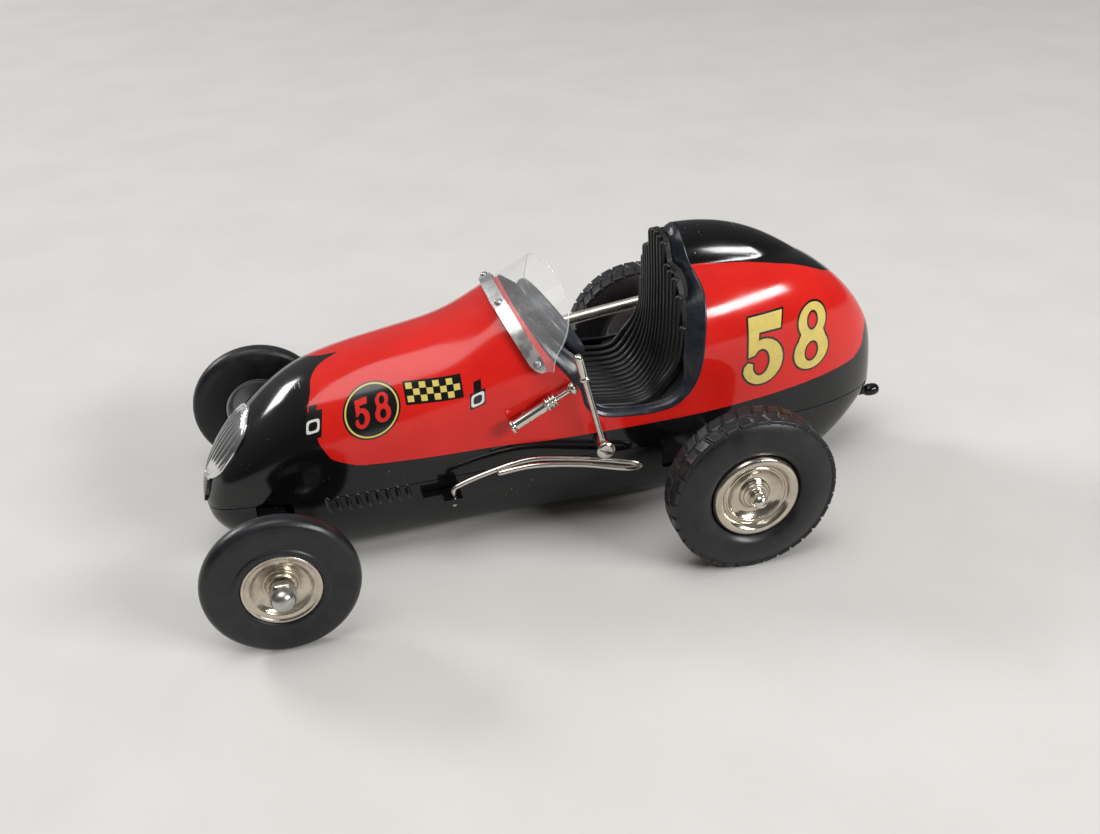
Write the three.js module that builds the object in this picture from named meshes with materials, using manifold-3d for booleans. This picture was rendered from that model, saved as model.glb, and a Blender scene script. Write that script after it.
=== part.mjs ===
// Tin midget racing car with a friction drive.
// Millimetres, +Z up, nose towards -X, the car's left side towards -Y, ground at z = 0.

import * as THREE from 'three';
import { mergeVertices } from 'three/addons/utils/BufferGeometryUtils.js';
import Module from 'manifold-3d';

// ---------------------------------------------------------------- driving dimensions

const NOSE_X = -125.5;
const TAIL_X = 123;
const HOOD_HALF_WIDTH = 26.3;
const COCKPIT_HALF_WIDTH = 29.4;
const SHEET = 0.9; // body metal
const SEAM_GAP = 0.3; // between upper shell and pan
const REST_GAP = 0.35; // between a fitting and what it sits on
const PAN_FLOOR_Z = 6.3;

const FRONT_AXLE_X = -104;
const FRONT_WHEEL_R = 25;
const FRONT_FACE_Y = 62.5; // outer face of a front tyre
const STUB_R = 1.65;

const REAR_AXLE_X = 50.5;
const REAR_WHEEL_R = 28.5;
const REAR_FACE_Y = 67.3; // outer face of a rear tyre
const AXLE_R = 1.6;

const SHAFT_CLEARANCE = 0.1;
const TYRE_ROUND = 28; // facets on a tyre
const ROUND = 20; // facets on a wheel disc
const SMALL_ROUND = 14; // facets on a shaft or screw

const wasm = await Module();
wasm.setup();
const car = new THREE.Group();

// ---------------------------------------------------------------- small helpers

const vec = (x, y, z) => new THREE.Vector3(x, y, z);
const clamp01 = (t) => Math.min(1, Math.max(0, t));
const ease = (t) => clamp01(t) ** 2 * (3 - 2 * clamp01(t));
const range = (count) => Array.from({ length: count }, (_, i) => i);

// Smooth curve through [x, value] points that never overshoots them.
function curve(points) {
  const n = points.length;
  const slope = range(n - 1).map((i) => (
    (points[i + 1][1] - points[i][1]) / (points[i + 1][0] - points[i][0])));
  const tangent = range(n).map((i) => {
    if (i === 0) return slope[0];
    if (i === n - 1) return slope[n - 2];
    const a = slope[i - 1];
    const b = slope[i];
    return a * b <= 0 ? 0 : (2 * a * b) / (a + b);
  });
  return (x) => {
    if (x <= points[0][0]) return points[0][1];
    if (x >= points[n - 1][0]) return points[n - 1][1];
    let i = 0;
    while (x > points[i + 1][0]) i += 1;
    const h = points[i + 1][0] - points[i][0];
    const t = (x - points[i][0]) / h;
    return (2 * t ** 3 - 3 * t ** 2 + 1) * points[i][1]
      + (t ** 3 - 2 * t ** 2 + t) * h * tangent[i]
      + (3 * t ** 2 - 2 * t ** 3) * points[i + 1][1]
      + (t ** 3 - t ** 2) * h * tangent[i + 1];
  };
}

// Closed geometry with shared vertices, no collapsed triangles and faces pointing out.
function tidy(geometry) {
  const bare = new THREE.BufferGeometry();
  bare.setAttribute('position', geometry.getAttribute('position').clone());
  if (geometry.index) bare.setIndex(geometry.index.clone());
  const merged = mergeVertices(bare, 1e-4);
  const position = merged.getAttribute('position');
  const index = merged.index.array;
  const corner = range(3).map(() => new THREE.Vector3());
  const kept = [];
  let volume = 0;
  for (let i = 0; i < index.length; i += 3) {
    const [a, b, c] = [index[i], index[i + 1], index[i + 2]];
    if (a === b || b === c || c === a) continue;
    kept.push(a, b, c);
    corner.forEach((v, k) => v.fromBufferAttribute(position, index[i + k]));
    volume += corner[0].dot(corner[1].clone().cross(corner[2]));
  }
  if (volume < 0) {
    for (let i = 0; i < kept.length; i += 3) [kept[i + 1], kept[i + 2]] = [kept[i + 2], kept[i + 1]];
  }
  merged.setIndex(kept);
  return merged;
}

function toManifold(geometry) {
  const closed = tidy(geometry);
  return new wasm.Manifold(new wasm.Mesh({
    numProp: 3,
    vertProperties: new Float32Array(closed.getAttribute('position').array),
    triVerts: new Uint32Array(closed.index.array),
  }));
}

function fromManifold(manifold) {
  const mesh = manifold.getMesh();
  const geometry = new THREE.BufferGeometry();
  geometry.setAttribute('position', new THREE.BufferAttribute(new Float32Array(mesh.vertProperties), 3));
  geometry.setIndex(Array.from(mesh.triVerts));
  return geometry;
}

const cut = (geometry, ...tools) => fromManifold(
  tools.reduce((body, tool) => body.subtract(toManifold(tool)), toManifold(geometry)));
const join = (...pieces) => fromManifold(
  pieces.map(toManifold).reduce((body, piece) => body.add(piece)));

// Closed skin between two grids of points: an outer face, an inner face and the four edges.
function skin(outer, inner) {
  const rows = outer.length;
  const columns = outer[0].length;
  const points = [...outer.flat(), ...inner.flat()];
  const at = (side, i, j) => side * rows * columns + i * columns + j;
  const index = [];
  const quad = (a, b, c, d) => index.push(a, b, c, a, c, d);
  for (let i = 0; i < rows - 1; i += 1) {
    for (let j = 0; j < columns - 1; j += 1) {
      quad(at(0, i, j), at(0, i + 1, j), at(0, i + 1, j + 1), at(0, i, j + 1));
      quad(at(1, i, j), at(1, i, j + 1), at(1, i + 1, j + 1), at(1, i + 1, j));
    }
    quad(at(0, i, 0), at(1, i, 0), at(1, i + 1, 0), at(0, i + 1, 0));
    quad(at(0, i, columns - 1), at(0, i + 1, columns - 1), at(1, i + 1, columns - 1), at(1, i, columns - 1));
  }
  for (let j = 0; j < columns - 1; j += 1) {
    quad(at(0, 0, j), at(0, 0, j + 1), at(1, 0, j + 1), at(1, 0, j));
    quad(at(0, rows - 1, j), at(1, rows - 1, j), at(1, rows - 1, j + 1), at(0, rows - 1, j + 1));
  }
  const geometry = new THREE.BufferGeometry().setFromPoints(points);
  geometry.setIndex(index);
  return tidy(geometry);
}

// Solid of revolution about Y from closed [radius, y] points.
function turned(profile, facets = SMALL_ROUND) {
  const points = [...profile, profile[0]].map(([r, y]) => new THREE.Vector2(r, y));
  return tidy(new THREE.LatheGeometry(points, facets));
}

// Plate whose outline is [x, z] points, between two heights along Y.
function plate(outline, yLow, yHigh, holes = []) {
  const shape = new THREE.Shape(outline.map(([x, z]) => new THREE.Vector2(x, z)));
  holes.forEach(({ x, z, r }) => {
    const hole = new THREE.Path();
    hole.absarc(x, z, r, 0, Math.PI * 2, true);
    shape.holes.push(hole);
  });
  const options = { depth: yHigh - yLow, bevelEnabled: false, curveSegments: SMALL_ROUND / 2 };
  const geometry = new THREE.ExtrudeGeometry(shape, options);
  geometry.rotateX(Math.PI / 2);
  geometry.translate(0, yHigh, 0);
  return tidy(geometry);
}

function block(low, high) {
  const size = high.map((value, k) => value - low[k]);
  const geometry = new THREE.BoxGeometry(...size);
  geometry.translate(...high.map((value, k) => (value + low[k]) / 2));
  return geometry;
}

// Round bar between two points.
function rod(from, to, radius, facets = SMALL_ROUND) {
  const along = to.clone().sub(from);
  const geometry = new THREE.CylinderGeometry(radius, radius, along.length(), facets);
  const turn = new THREE.Quaternion().setFromUnitVectors(vec(0, 1, 0), along.clone().normalize());
  geometry.applyQuaternion(turn);
  geometry.translate(...from.clone().add(to).multiplyScalar(0.5).toArray());
  return tidy(geometry);
}

// Bent wire or tube of one radius through a list of points.
function wire(points, radius, steps, facets = 8) {
  const ring = new THREE.Shape(range(facets).map((i) => {
    const angle = (i / facets) * Math.PI * 2;
    return new THREE.Vector2(radius * Math.cos(angle), radius * Math.sin(angle));
  }));
  const path = new THREE.CatmullRomCurve3(points, false, 'centripetal');
  return tidy(new THREE.ExtrudeGeometry(ring, { steps, extrudePath: path, bevelEnabled: false }));
}

const FINISH = {
  enamel_red: [0xb8160e, 0.22, 0.1],
  enamel_black: [0x101012, 0.28, 0.1],
  nickel: [0xc9c4b8, 0.25, 1],
  chrome: [0xd6d8dc, 0.12, 1],
  steel: [0x8f9195, 0.4, 1],
  brass: [0xb08d3c, 0.35, 1],
  rubber: [0x1b1b1d, 0.75, 0],
  trim: [0x2b2f36, 0.45, 0],
  clear: [0xe6ebee, 0.1, 0],
};

function add(name, geometry, finish) {
  const [color, roughness, metalness] = FINISH[finish];
  const material = new THREE.MeshStandardMaterial({ color, roughness, metalness });
  const mesh = new THREE.Mesh(tidy(geometry), material);
  mesh.name = name;
  car.add(mesh);
  return mesh;
}

// ---------------------------------------------------------------- body surface

const hoodTop = curve([
  [NOSE_X, 25], [-124.9, 29.3], [-123.5, 33.2], [-119.5, 40], [-112.5, 49], [-105, 56.3], [-97, 62.4],
  [-86, 68.2], [-70, 72.2], [-52, 75], [-40, 76.9], [-32, 79.6], [-24, 83.8], [-17, 87.2],
  [10, 91], [45, 89.5], [57, 89.4], [68, 88.6], [84, 86], [92, 82.4], [103, 74.2], [109.6, 67.6],
  [118, 55.5], [121.6, 46], [122.8, 36], [TAIL_X, 26],
]);
const headrestTop = curve([
  [25, 97], [48, 99.5], [55.5, 98.9], [65, 96.9], [74, 93.5], [84, 87.8], [92, 82], [100, 74],
]);
const bodyBottom = curve([
  [NOSE_X, 25], [-124.6, 20.6], [-121.6, 16.4], [-116.6, 13], [-109.6, 10.4], [-99, 8.3], [-88, 7],
  [-72, PAN_FLOOR_Z], [86, PAN_FLOOR_Z], [95, 7.2], [101, 9.2], [107, 12.4], [113, 16.6], [118, 20.6],
  [121.5, 23.6], [TAIL_X, 26],
]);
const widestZ = curve([
  [NOSE_X, 25], [-117, 32], [-100, 40], [-60, 47], [-17, 55], [15, 50], [60, 50], [95, 45], [118, 34],
  [TAIL_X, 26],
]);
const seamZ = curve([[NOSE_X, 25], [-115, 28.5], [-100, 31], [62, 31], [100, 28], [TAIL_X, 26]]);
const headrestHalfWidth = curve([[25, 11.6], [66, 11.4], [84, 8.5], [96, 2]]);

const NOSE_CURVE = 2.6;
const TAIL_CURVE = 2;
const TAIL_POINT = 1.7;
const UPPER_ROUND = 2.15;
const LOWER_ROUND = 3.5;
const FLOOR_CUT = 3; // how far the lower curve is cut off flat by the floor
const CREASE = 1.2;
const HEADREST_START = 25;
const HEADREST_END = 99;
const HEADREST_DEPTH = 14; // how far the headrest's straight sides reach down into the tail
const HEADREST_ROUND = 2.3;

function widestHalf(x) {
  const flare = ease((x + 35) / 60);
  const half = HOOD_HALF_WIDTH + (COCKPIT_HALF_WIDTH - HOOD_HALF_WIDTH) * flare;
  if (x < -60) return half * Math.max(0, 1 - ((-60 - x) / (-60 - NOSE_X)) ** NOSE_CURVE) ** (1 / NOSE_CURVE);
  if (x > 30) return half * Math.max(0, 1 - ((x - 30) / (TAIL_X - 30)) ** TAIL_CURVE) ** (1 / TAIL_POINT);
  return half;
}

// The larger of two widths, with a filleted crease where they are alike.
function softMax(a, b) {
  const fillet = Math.min(CREASE, a, b);
  if (fillet <= 0) return Math.max(a, b);
  const h = clamp01(0.5 + (a - b) / (2 * fillet));
  return a * h + b * (1 - h) + fillet * h * (1 - h);
}

const hasHeadrest = (x) => x > HEADREST_START && x < HEADREST_END;
const topZ = (x) => (hasHeadrest(x) ? Math.max(hoodTop(x), headrestTop(x)) : hoodTop(x));

// Half width of the body at a station x and height z.
function halfWidth(x, z) {
  const widest = widestZ(x);
  const upper = z > widest;
  const floorCut = FLOOR_CUT * ease((x - NOSE_X - 2) / 25) * ease((TAIL_X - 2 - x) / 25);
  const reach = upper ? hoodTop(x) - widest : widest - bodyBottom(x) + floorCut;
  const power = upper ? UPPER_ROUND : LOWER_ROUND;
  const t = reach > 0 ? Math.abs(z - widest) / reach : 1;
  const body = t < 1 ? widestHalf(x) * (1 - t ** power) ** (1 / power) : 0;
  if (!hasHeadrest(x) || !upper) return body;
  const base = hoodTop(x) - HEADREST_DEPTH;
  const rise = Math.max(0, (z - base) / (headrestTop(x) - base));
  const side = rise < 1 ? headrestHalfWidth(x) * (1 - rise ** HEADREST_ROUND) ** (1 / HEADREST_ROUND) : 0;
  return softMax(body, side);
}

// Half of a cross-section from the seam to the centre line, as evenly spaced points.
function halfSection(x, zStart, zEnd, count) {
  const dense = range(61).map((i) => {
    const z = zStart + (zEnd - zStart) * Math.sin((i / 60) * Math.PI * 0.5);
    return [Math.max(0, halfWidth(x, z)), z];
  });
  if (Math.abs(dense[60][0]) > 0) dense.push([0, zEnd]);
  const lengths = [0];
  for (let i = 1; i < dense.length; i += 1) {
    lengths.push(lengths[i - 1] + Math.hypot(dense[i][0] - dense[i - 1][0], dense[i][1] - dense[i - 1][1]));
  }
  const total = lengths[lengths.length - 1];
  let i = 1;
  return range(count).map((k) => {
    const want = (k / (count - 1)) * total;
    while (i < lengths.length - 1 && lengths[i] < want) i += 1;
    const span = lengths[i] - lengths[i - 1];
    const t = span > 0 ? clamp01((want - lengths[i - 1]) / span) : 0;
    return [
      dense[i - 1][0] + (dense[i][0] - dense[i - 1][0]) * t,
      dense[i - 1][1] + (dense[i][1] - dense[i - 1][1]) * t,
    ];
  });
}

// Lofted half of the body, above the seam (side = 1) or below it (side = -1).
function bodySkin(side, stations, halfCount, thickness) {
  const outer = range(stations).map((i) => {
    const u = i / (stations - 1);
    const x = NOSE_X + (TAIL_X - NOSE_X) * (u - (0.85 * Math.sin(2 * Math.PI * u)) / (2 * Math.PI));
    const seam = seamZ(x);
    const end = side > 0 ? topZ(x) : bodyBottom(x);
    const half = i === 0 || i === stations - 1
      ? range(halfCount).map(() => [0, seam])
      : halfSection(x, seam, end, halfCount);
    half[halfCount - 1][0] = 0;
    const left = half.map(([y, z]) => vec(x, -y, z));
    const right = half.slice(0, -1).reverse().map(([y, z]) => vec(x, y, z));
    return [...left, ...right];
  });
  const columns = outer[0].length;
  const inner = outer.map((row, i) => row.map((point, j) => {
    if (i === 0) return point.clone().add(vec(thickness, 0, 0));
    if (i === stations - 1) return point.clone().add(vec(-thickness, 0, 0));
    const along = outer[i + 1][j].clone().sub(outer[i - 1][j]);
    const around = row[Math.min(j + 1, columns - 1)].clone().sub(row[Math.max(j - 1, 0)]);
    const normal = around.cross(along).multiplyScalar(side);
    if (j === 0 || j === columns - 1) normal.z = 0;
    return point.clone().sub(normal.normalize().multiplyScalar(-thickness));
  }));
  const shift = (SEAM_GAP / 2) * side;
  [...outer, ...inner].forEach((row) => row.forEach((point) => { point.z += shift; }));
  return skin(outer, inner);
}

// ---------------------------------------------------------------- cockpit opening

// Side view of the opening's edge, from the top of the cowl down and up to the headrest.
const openingCurve = new THREE.CatmullRomCurve3([
  vec(2.4, 0, 57.5), vec(4.2, 0, 50.4), vec(9, 0, 46.2), vec(19, 0, 44.6), vec(29, 0, 44.4), vec(36, 0, 45.8),
  vec(42, 0, 50.8), vec(45.6, 0, 58.5), vec(47.4, 0, 67), vec(48.8, 0, 75), vec(49.4, 0, 81),
  vec(48, 0, 87), vec(46.4, 0, 93), vec(45.8, 0, topZ(45.8)),
]);
const openingPoints = range(23).map((i) => openingCurve.getPoint(1 - (1 - i / 22) ** 1.3));
const COWL_EDGE = [[-16.6, 88.4], [-12.6, 80], [-7, 70.4]];

function openingTool() {
  const edge = openingPoints.map((p) => [p.x, p.z]);
  return plate([[-16.8, 112], ...COWL_EDGE, ...edge, [45.6, 112]], -45, 45);
}

function mirroredBoxes(low, high) {
  return [block(low, high), block([low[0], -high[1], low[2]], [high[0], -low[1], high[2]])];
}

const frontSlots = () => mirroredBoxes([-110.6, 12, 24.4], [-97, 40, 33]);
const axleWindows = () => mirroredBoxes([26, 12, 19.5], [77, 40, 36]);

const PAN_SCREW_X = [-64, 84];
const PAN_SCREW_R = 1.3;
const TAIL_SCREW_Z = 18.6;
const TAIL_SCREW_R = 1.4;

function buildBody() {
  const upper = bodySkin(1, 25, 9, SHEET);
  add('body_shell', cut(upper, openingTool(), ...frontSlots(), ...axleWindows()), 'enamel_red');
  const pan = bodySkin(-1, 22, 5, SHEET);
  const screwHoles = PAN_SCREW_X.map((x) => rod(vec(x, 0, 0), vec(x, 0, 12), PAN_SCREW_R + REST_GAP, 12));
  const tailHole = rod(vec(106, 0, TAIL_SCREW_Z), vec(124, 0, TAIL_SCREW_Z), TAIL_SCREW_R + REST_GAP);
  add('body_pan', cut(pan, ...frontSlots(), ...axleWindows(), ...screwHoles, tailHole), 'enamel_black');
  PAN_SCREW_X.forEach((x, i) => {
    const screw = turned([
      [0, 0], [2.2, 0], [2.6, 0.6], [2.6, 1.5], [PAN_SCREW_R, 1.5], [PAN_SCREW_R, 9], [0, 9],
    ], 12);
    screw.rotateX(Math.PI / 2);
    screw.translate(x, 0, PAN_FLOOR_Z - REST_GAP - 1.5);
    add(`pan_screw_${i === 0 ? 'front' : 'rear'}`, screw, 'steel');
  });
}

// Rolled trim band that lies on the edge of the opening, all the way round the sides and headrest.
const coamingWidth = curve([[46, 3.6], [52, 5], [62, 6.6], [76, 6.6], [88, 4.8], [97, 4]]);
const COAMING_THICK = 1.1;

function buildCoaming() {
  const side = openingPoints.slice(2).map((p) => vec(p.x, -halfWidth(p.x, p.z), p.z));
  const normals = side.map((_, i) => {
    const k = i + 2;
    const a = openingPoints[k - 1];
    const b = openingPoints[Math.min(k + 1, openingPoints.length - 1)];
    return vec(-(b.z - a.z), 0, b.x - a.x).normalize();
  });
  side[side.length - 1].y = 0;
  const mirrored = (list) => [...list, ...list.slice(0, -1).reverse().map((p) => vec(p.x, -p.y, p.z))];
  const edge = mirrored(side);
  const normal = mirrored(normals);
  const inward = edge.map((_, i) => {
    const along = edge[Math.min(i + 1, edge.length - 1)].clone().sub(edge[Math.max(i - 1, 0)]).normalize();
    return along.clone().cross(normal[i]).multiplyScalar(-1).normalize();
  });
  const profile = [[0, REST_GAP], [0.55, REST_GAP + 0.9], [1, REST_GAP + 1.2]];
  const layer = (lift) => edge.map((point, i) => profile.map(([across, up]) => {
    const over = point.clone().addScaledVector(inward[i], across * coamingWidth(point.z));
    return over.addScaledVector(normal[i], up + lift);
  }));
  add('cockpit_coaming', skin(layer(COAMING_THICK), layer(0)), 'trim');
}

// ---------------------------------------------------------------- grille, dash, screen

const GRILLE_LOW_Z = 31;
const GRILLE_HIGH_Z = 56;
const grilleHalfWidth = curve([
  [GRILLE_LOW_Z, 1.2], [35, 6.2], [40, 10.8], [45.5, 11.9], [50, 11], [53.2, 8], [55, 4.6], [GRILLE_HIGH_Z, 2.4],
]);

// Front of the nose: the foremost x where the body is as wide as y at height z.
function noseX(y, z) {
  let low = NOSE_X;
  let high = -80;
  for (let i = 0; i < 40; i += 1) {
    const middle = (low + high) / 2;
    const inside = z < topZ(middle) && z > bodyBottom(middle) && halfWidth(middle, z) > Math.abs(y);
    if (inside) high = middle; else low = middle;
  }
  return high;
}

function buildGrille() {
  const forward = vec(-0.82, 0, 0.57);
  const bars = 6;
  const columns = 2 * bars + 1;
  const layer = (lift) => range(9).map((i) => {
    const z = GRILLE_LOW_Z + ((GRILLE_HIGH_Z - GRILLE_LOW_Z) * i) / 8;
    return range(columns).map((j) => {
      const y = grilleHalfWidth(z) * ((2 * j) / (columns - 1) - 1);
      return vec(noseX(y, z), y, z).addScaledVector(forward, lift(j));
    });
  });
  const ridge = (j) => REST_GAP + 0.25 + (j % 2 === 0 ? 0.6 : 1.3);
  add('grille', skin(layer(ridge), layer(() => REST_GAP + 0.25)), 'chrome');
}

const DASH_X = -21;
const STEER_CENTRE = vec(0.4, 0, 71.7);
const STEER_TILT = THREE.MathUtils.degToRad(35.5);
const STEER_AXIS = vec(Math.cos(STEER_TILT), 0, Math.sin(STEER_TILT));
const onColumn = (distance) => STEER_CENTRE.clone().addScaledVector(STEER_AXIS, -distance);

function buildSteering() {
  const sides = range(9).map((i) => {
    const z = 50 + (topZ(DASH_X) - SHEET - 1.2 - 50) * Math.sin((i / 8) * Math.PI * 0.5);
    return [halfWidth(DASH_X - 2, z + SHEET) - SHEET - 0.6, z];
  });
  const outline = [...sides, ...sides.slice(0, -1).reverse().map(([y, z]) => [-y, z])];
  const dash = plate(outline, 0, 1.2);
  dash.rotateZ(Math.PI / 2);
  dash.translate(DASH_X, 0, 0);
  const columnBore = rod(onColumn(38), onColumn(14), 2.4);
  add('dashboard', cut(dash, columnBore), 'enamel_black');

  const column = cut(rod(onColumn(29), onColumn(7), 2), rod(onColumn(22), onColumn(2), 1.05));
  add('steering_column', column, 'nickel');

  const ringR = 15.4;
  const tube = 1.6;
  const ring = turned(range(6).map((i) => {
    const angle = (i / 6) * Math.PI * 2;
    return [ringR + tube * Math.cos(angle), tube * Math.sin(angle)];
  }), ROUND);
  const spokes = range(3).map((i) => {
    const spoke = block([1, -0.5, -1.4], [ringR, 0.5, 1.4]);
    spoke.rotateY((i / 3) * Math.PI * 2);
    return spoke;
  });
  const hub = turned([[0, 2.2], [2, 2], [3.4, 0.9], [3.4, -1.2], [0.95, -1.2], [0.95, -17], [0, -17]], 12);
  const wheel = join(ring, hub, ...spokes);
  const down = vec(Math.sin(STEER_TILT), 0, -Math.cos(STEER_TILT));
  wheel.applyMatrix4(new THREE.Matrix4().makeBasis(down, STEER_AXIS, down.clone().cross(STEER_AXIS)));
  wheel.translate(...STEER_CENTRE.toArray());
  add('steering_wheel', wheel, 'trim');
}

// Screen frame: the strip lies in slanted planes x + SLANT * z = constant across the cowl.
const SLANT = 0.524;

// Point on the cowl's outside where the slanted plane meets it at a given angle round the cowl.
function onCowl(plane, angle, lift) {
  let x = plane - SLANT * 80;
  let z = 80;
  let y = 0;
  for (let i = 0; i < 12; i += 1) {
    const widest = widestZ(x);
    const half = widestHalf(x);
    const sine = Math.abs(Math.sin(angle)) ** (2 / UPPER_ROUND);
    const cosine = Math.abs(Math.cos(angle)) ** (2 / UPPER_ROUND);
    z = widest + (hoodTop(x) - widest) * cosine;
    y = half * sine * Math.sign(angle);
    x = plane - SLANT * z;
  }
  const normal = vec(-0.3, y / widestHalf(x), (z - widestZ(x)) / 28).normalize();
  return vec(x, y, z).addScaledVector(normal, lift);
}

const STRIP_PLANE = 22.2;
const STRIP_WIDTH = 5.2;
const STRIP_ANGLE = 1.27;
const SHEET_THICK = 0.5;
const stripAngles = range(15).map((i) => -STRIP_ANGLE + (2 * STRIP_ANGLE * i) / 14);
const SCREEN_APEX = vec(-110, 0, 50);

// Length of the clear screen behind the strip, round the cowl.
function screenReach(angle) {
  return 1 + 17.8 * Math.max(0, 1 - Math.abs(angle / (STRIP_ANGLE + 0.01)) ** 3.4) ** 0.65;
}

function buildScreen() {
  const under = REST_GAP + 0.25;
  const sheet = (lift) => stripAngles.map((angle) => {
    const front = onCowl(STRIP_PLANE + 0.6, angle, lift);
    const rear = onCowl(STRIP_PLANE + STRIP_WIDTH, angle, lift);
    const away = rear.clone().sub(SCREEN_APEX).normalize();
    const reach = screenReach(angle);
    return [front, rear, ...range(2).map((i) => rear.clone().addScaledVector(away, (reach * (i + 1)) / 2))];
  });
  add('windscreen', skin(sheet(under + SHEET_THICK), sheet(under)), 'clear');

  const above = under + SHEET_THICK + REST_GAP;
  const strip = (lift) => stripAngles.map((angle) => (
    [0, 1].map((t) => onCowl(STRIP_PLANE + STRIP_WIDTH * t, angle, lift))));
  add('windscreen_strip', skin(strip(above + 0.8), strip(above)), 'chrome');

  [-1.19, -0.38, 0.38, 1.19].forEach((angle, i) => {
    const foot = onCowl(STRIP_PLANE + STRIP_WIDTH / 2, angle, above + 0.8 + REST_GAP);
    const higher = onCowl(STRIP_PLANE + STRIP_WIDTH / 2, angle, above + 3);
    const rivet = turned([[0, 0], [1.1, 0], [0.8, 0.6], [0, 0.8]], 8);
    const out = higher.sub(foot).normalize();
    rivet.applyQuaternion(new THREE.Quaternion().setFromUnitVectors(vec(0, 1, 0), out));
    rivet.translate(...foot.toArray());
    add(`windscreen_rivet_${i + 1}`, rivet, 'nickel');
  });
}

// ---------------------------------------------------------------- seat

const SEAT_THICK = 2.2;

function buildSeat() {
  const path = new THREE.CatmullRomCurve3([
    vec(3.5, 0, 45), vec(14, 0, 42.8), vec(25, 0, 41.6), vec(32.5, 0, 44), vec(37.8, 0, 52), vec(40, 0, 64),
    vec(40.6, 0, 78), vec(40.4, 0, 97),
  ]);
  const halfAt = curve([
    [0, 21.5], [0.3, 23.6], [0.5, 22.6], [0.62, 20.5], [0.74, 17.5], [0.82, 14.5], [0.88, 9], [1, 5.5],
  ]);
  const rows = 12;
  const columns = 9;
  const front = range(rows).map((i) => {
    const u = i / (rows - 1);
    const centre = path.getPoint(u);
    const along = path.getTangent(u);
    const facing = vec(-along.z, 0, along.x);
    return range(columns).map((j) => {
      const t = (2 * j) / (columns - 1) - 1;
      return centre.clone().add(vec(0, halfAt(u) * t, 0)).addScaledVector(facing, 4.2 * Math.abs(t) ** 3);
    });
  });
  const back = front.map((row, i) => {
    const along = path.getTangent(i / (rows - 1));
    const facing = vec(-along.z, 0, along.x);
    return row.map((point) => point.clone().addScaledVector(facing, -SEAT_THICK));
  });
  add('seat', skin(front, back), 'rubber');
}

// ---------------------------------------------------------------- wheels

// Wheel pieces are [radius, outward] profiles, measured outward from the tyre's outer face.
const FRONT_PROFILE = {
  tyre: [
    [13.1, -0.3], [20.5, 0], [23.6, -0.8], [25, -3.2], [25, -4.8], [23.6, -7.2], [20.5, -8], [13.1, -7.7],
  ],
  disc: [
    [1.75, -1], [4.6, -1], [5.2, -2.6], [9.6, -2.6], [10.9, -0.5], [12.7, -0.5], [12.7, -3.7], [11.4, -3.7],
    [10.9, -2], [9.9, -3.8], [1.75, -3.8],
  ],
  back: [
    [1.75, -4.2], [12.7, -4.2], [12.7, -7.4], [11.4, -7.4], [10.2, -5.6], [4, -5.6], [3.4, -7.6],
    [1.75, -7.6],
  ],
};
const REAR_PROFILE = {
  tyre: [
    [15.8, -0.7], [17, 0], [22, 0.2], [26, -0.8], [28.5, -3.2], [28.5, -9.3], [26, -11.7], [22, -12.7],
    [17, -12.5], [15.8, -11.8],
  ],
  disc: [
    [1.9, -0.8], [3.4, -0.8], [4.6, -2.6], [8.6, -3.8], [11.4, -1.4], [13.4, -0.6], [15.4, -1.8],
    [15.4, -5.6], [14.3, -5.6], [13.4, -2.6], [9.6, -5.4], [1.9, -5.4],
  ],
  back: [
    [1.9, -5.9], [15.4, -5.9], [15.4, -11.4], [14.2, -11.4], [12.6, -8], [5, -8], [4.2, -12], [1.9, -12],
  ],
};

function placeOnWheel(geometry, side, x, faceY, z) {
  if (side < 0) geometry.rotateZ(Math.PI);
  geometry.translate(x, side * faceY, z);
  return geometry;
}

function buildWheel(prefix, side, profile, x, faceY, z) {
  const place = (geometry) => placeOnWheel(geometry, side, x, faceY, z);
  add(`${prefix}_tyre`, place(turned(profile.tyre, TYRE_ROUND)), 'rubber');
  add(`${prefix}_disc`, place(turned(profile.disc, ROUND)), 'nickel');
  add(`${prefix}_back_disc`, place(turned(profile.back, ROUND)), 'nickel');
}

const BEAM_Z = 27.6; // underside of the flat front beam
const BEAM_HALF_WIDTH = 4.5;
const BEAM_THICK = 1.5;
const EAR_Y = 50.2; // outboard face of the beam's turned-down ear

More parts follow.
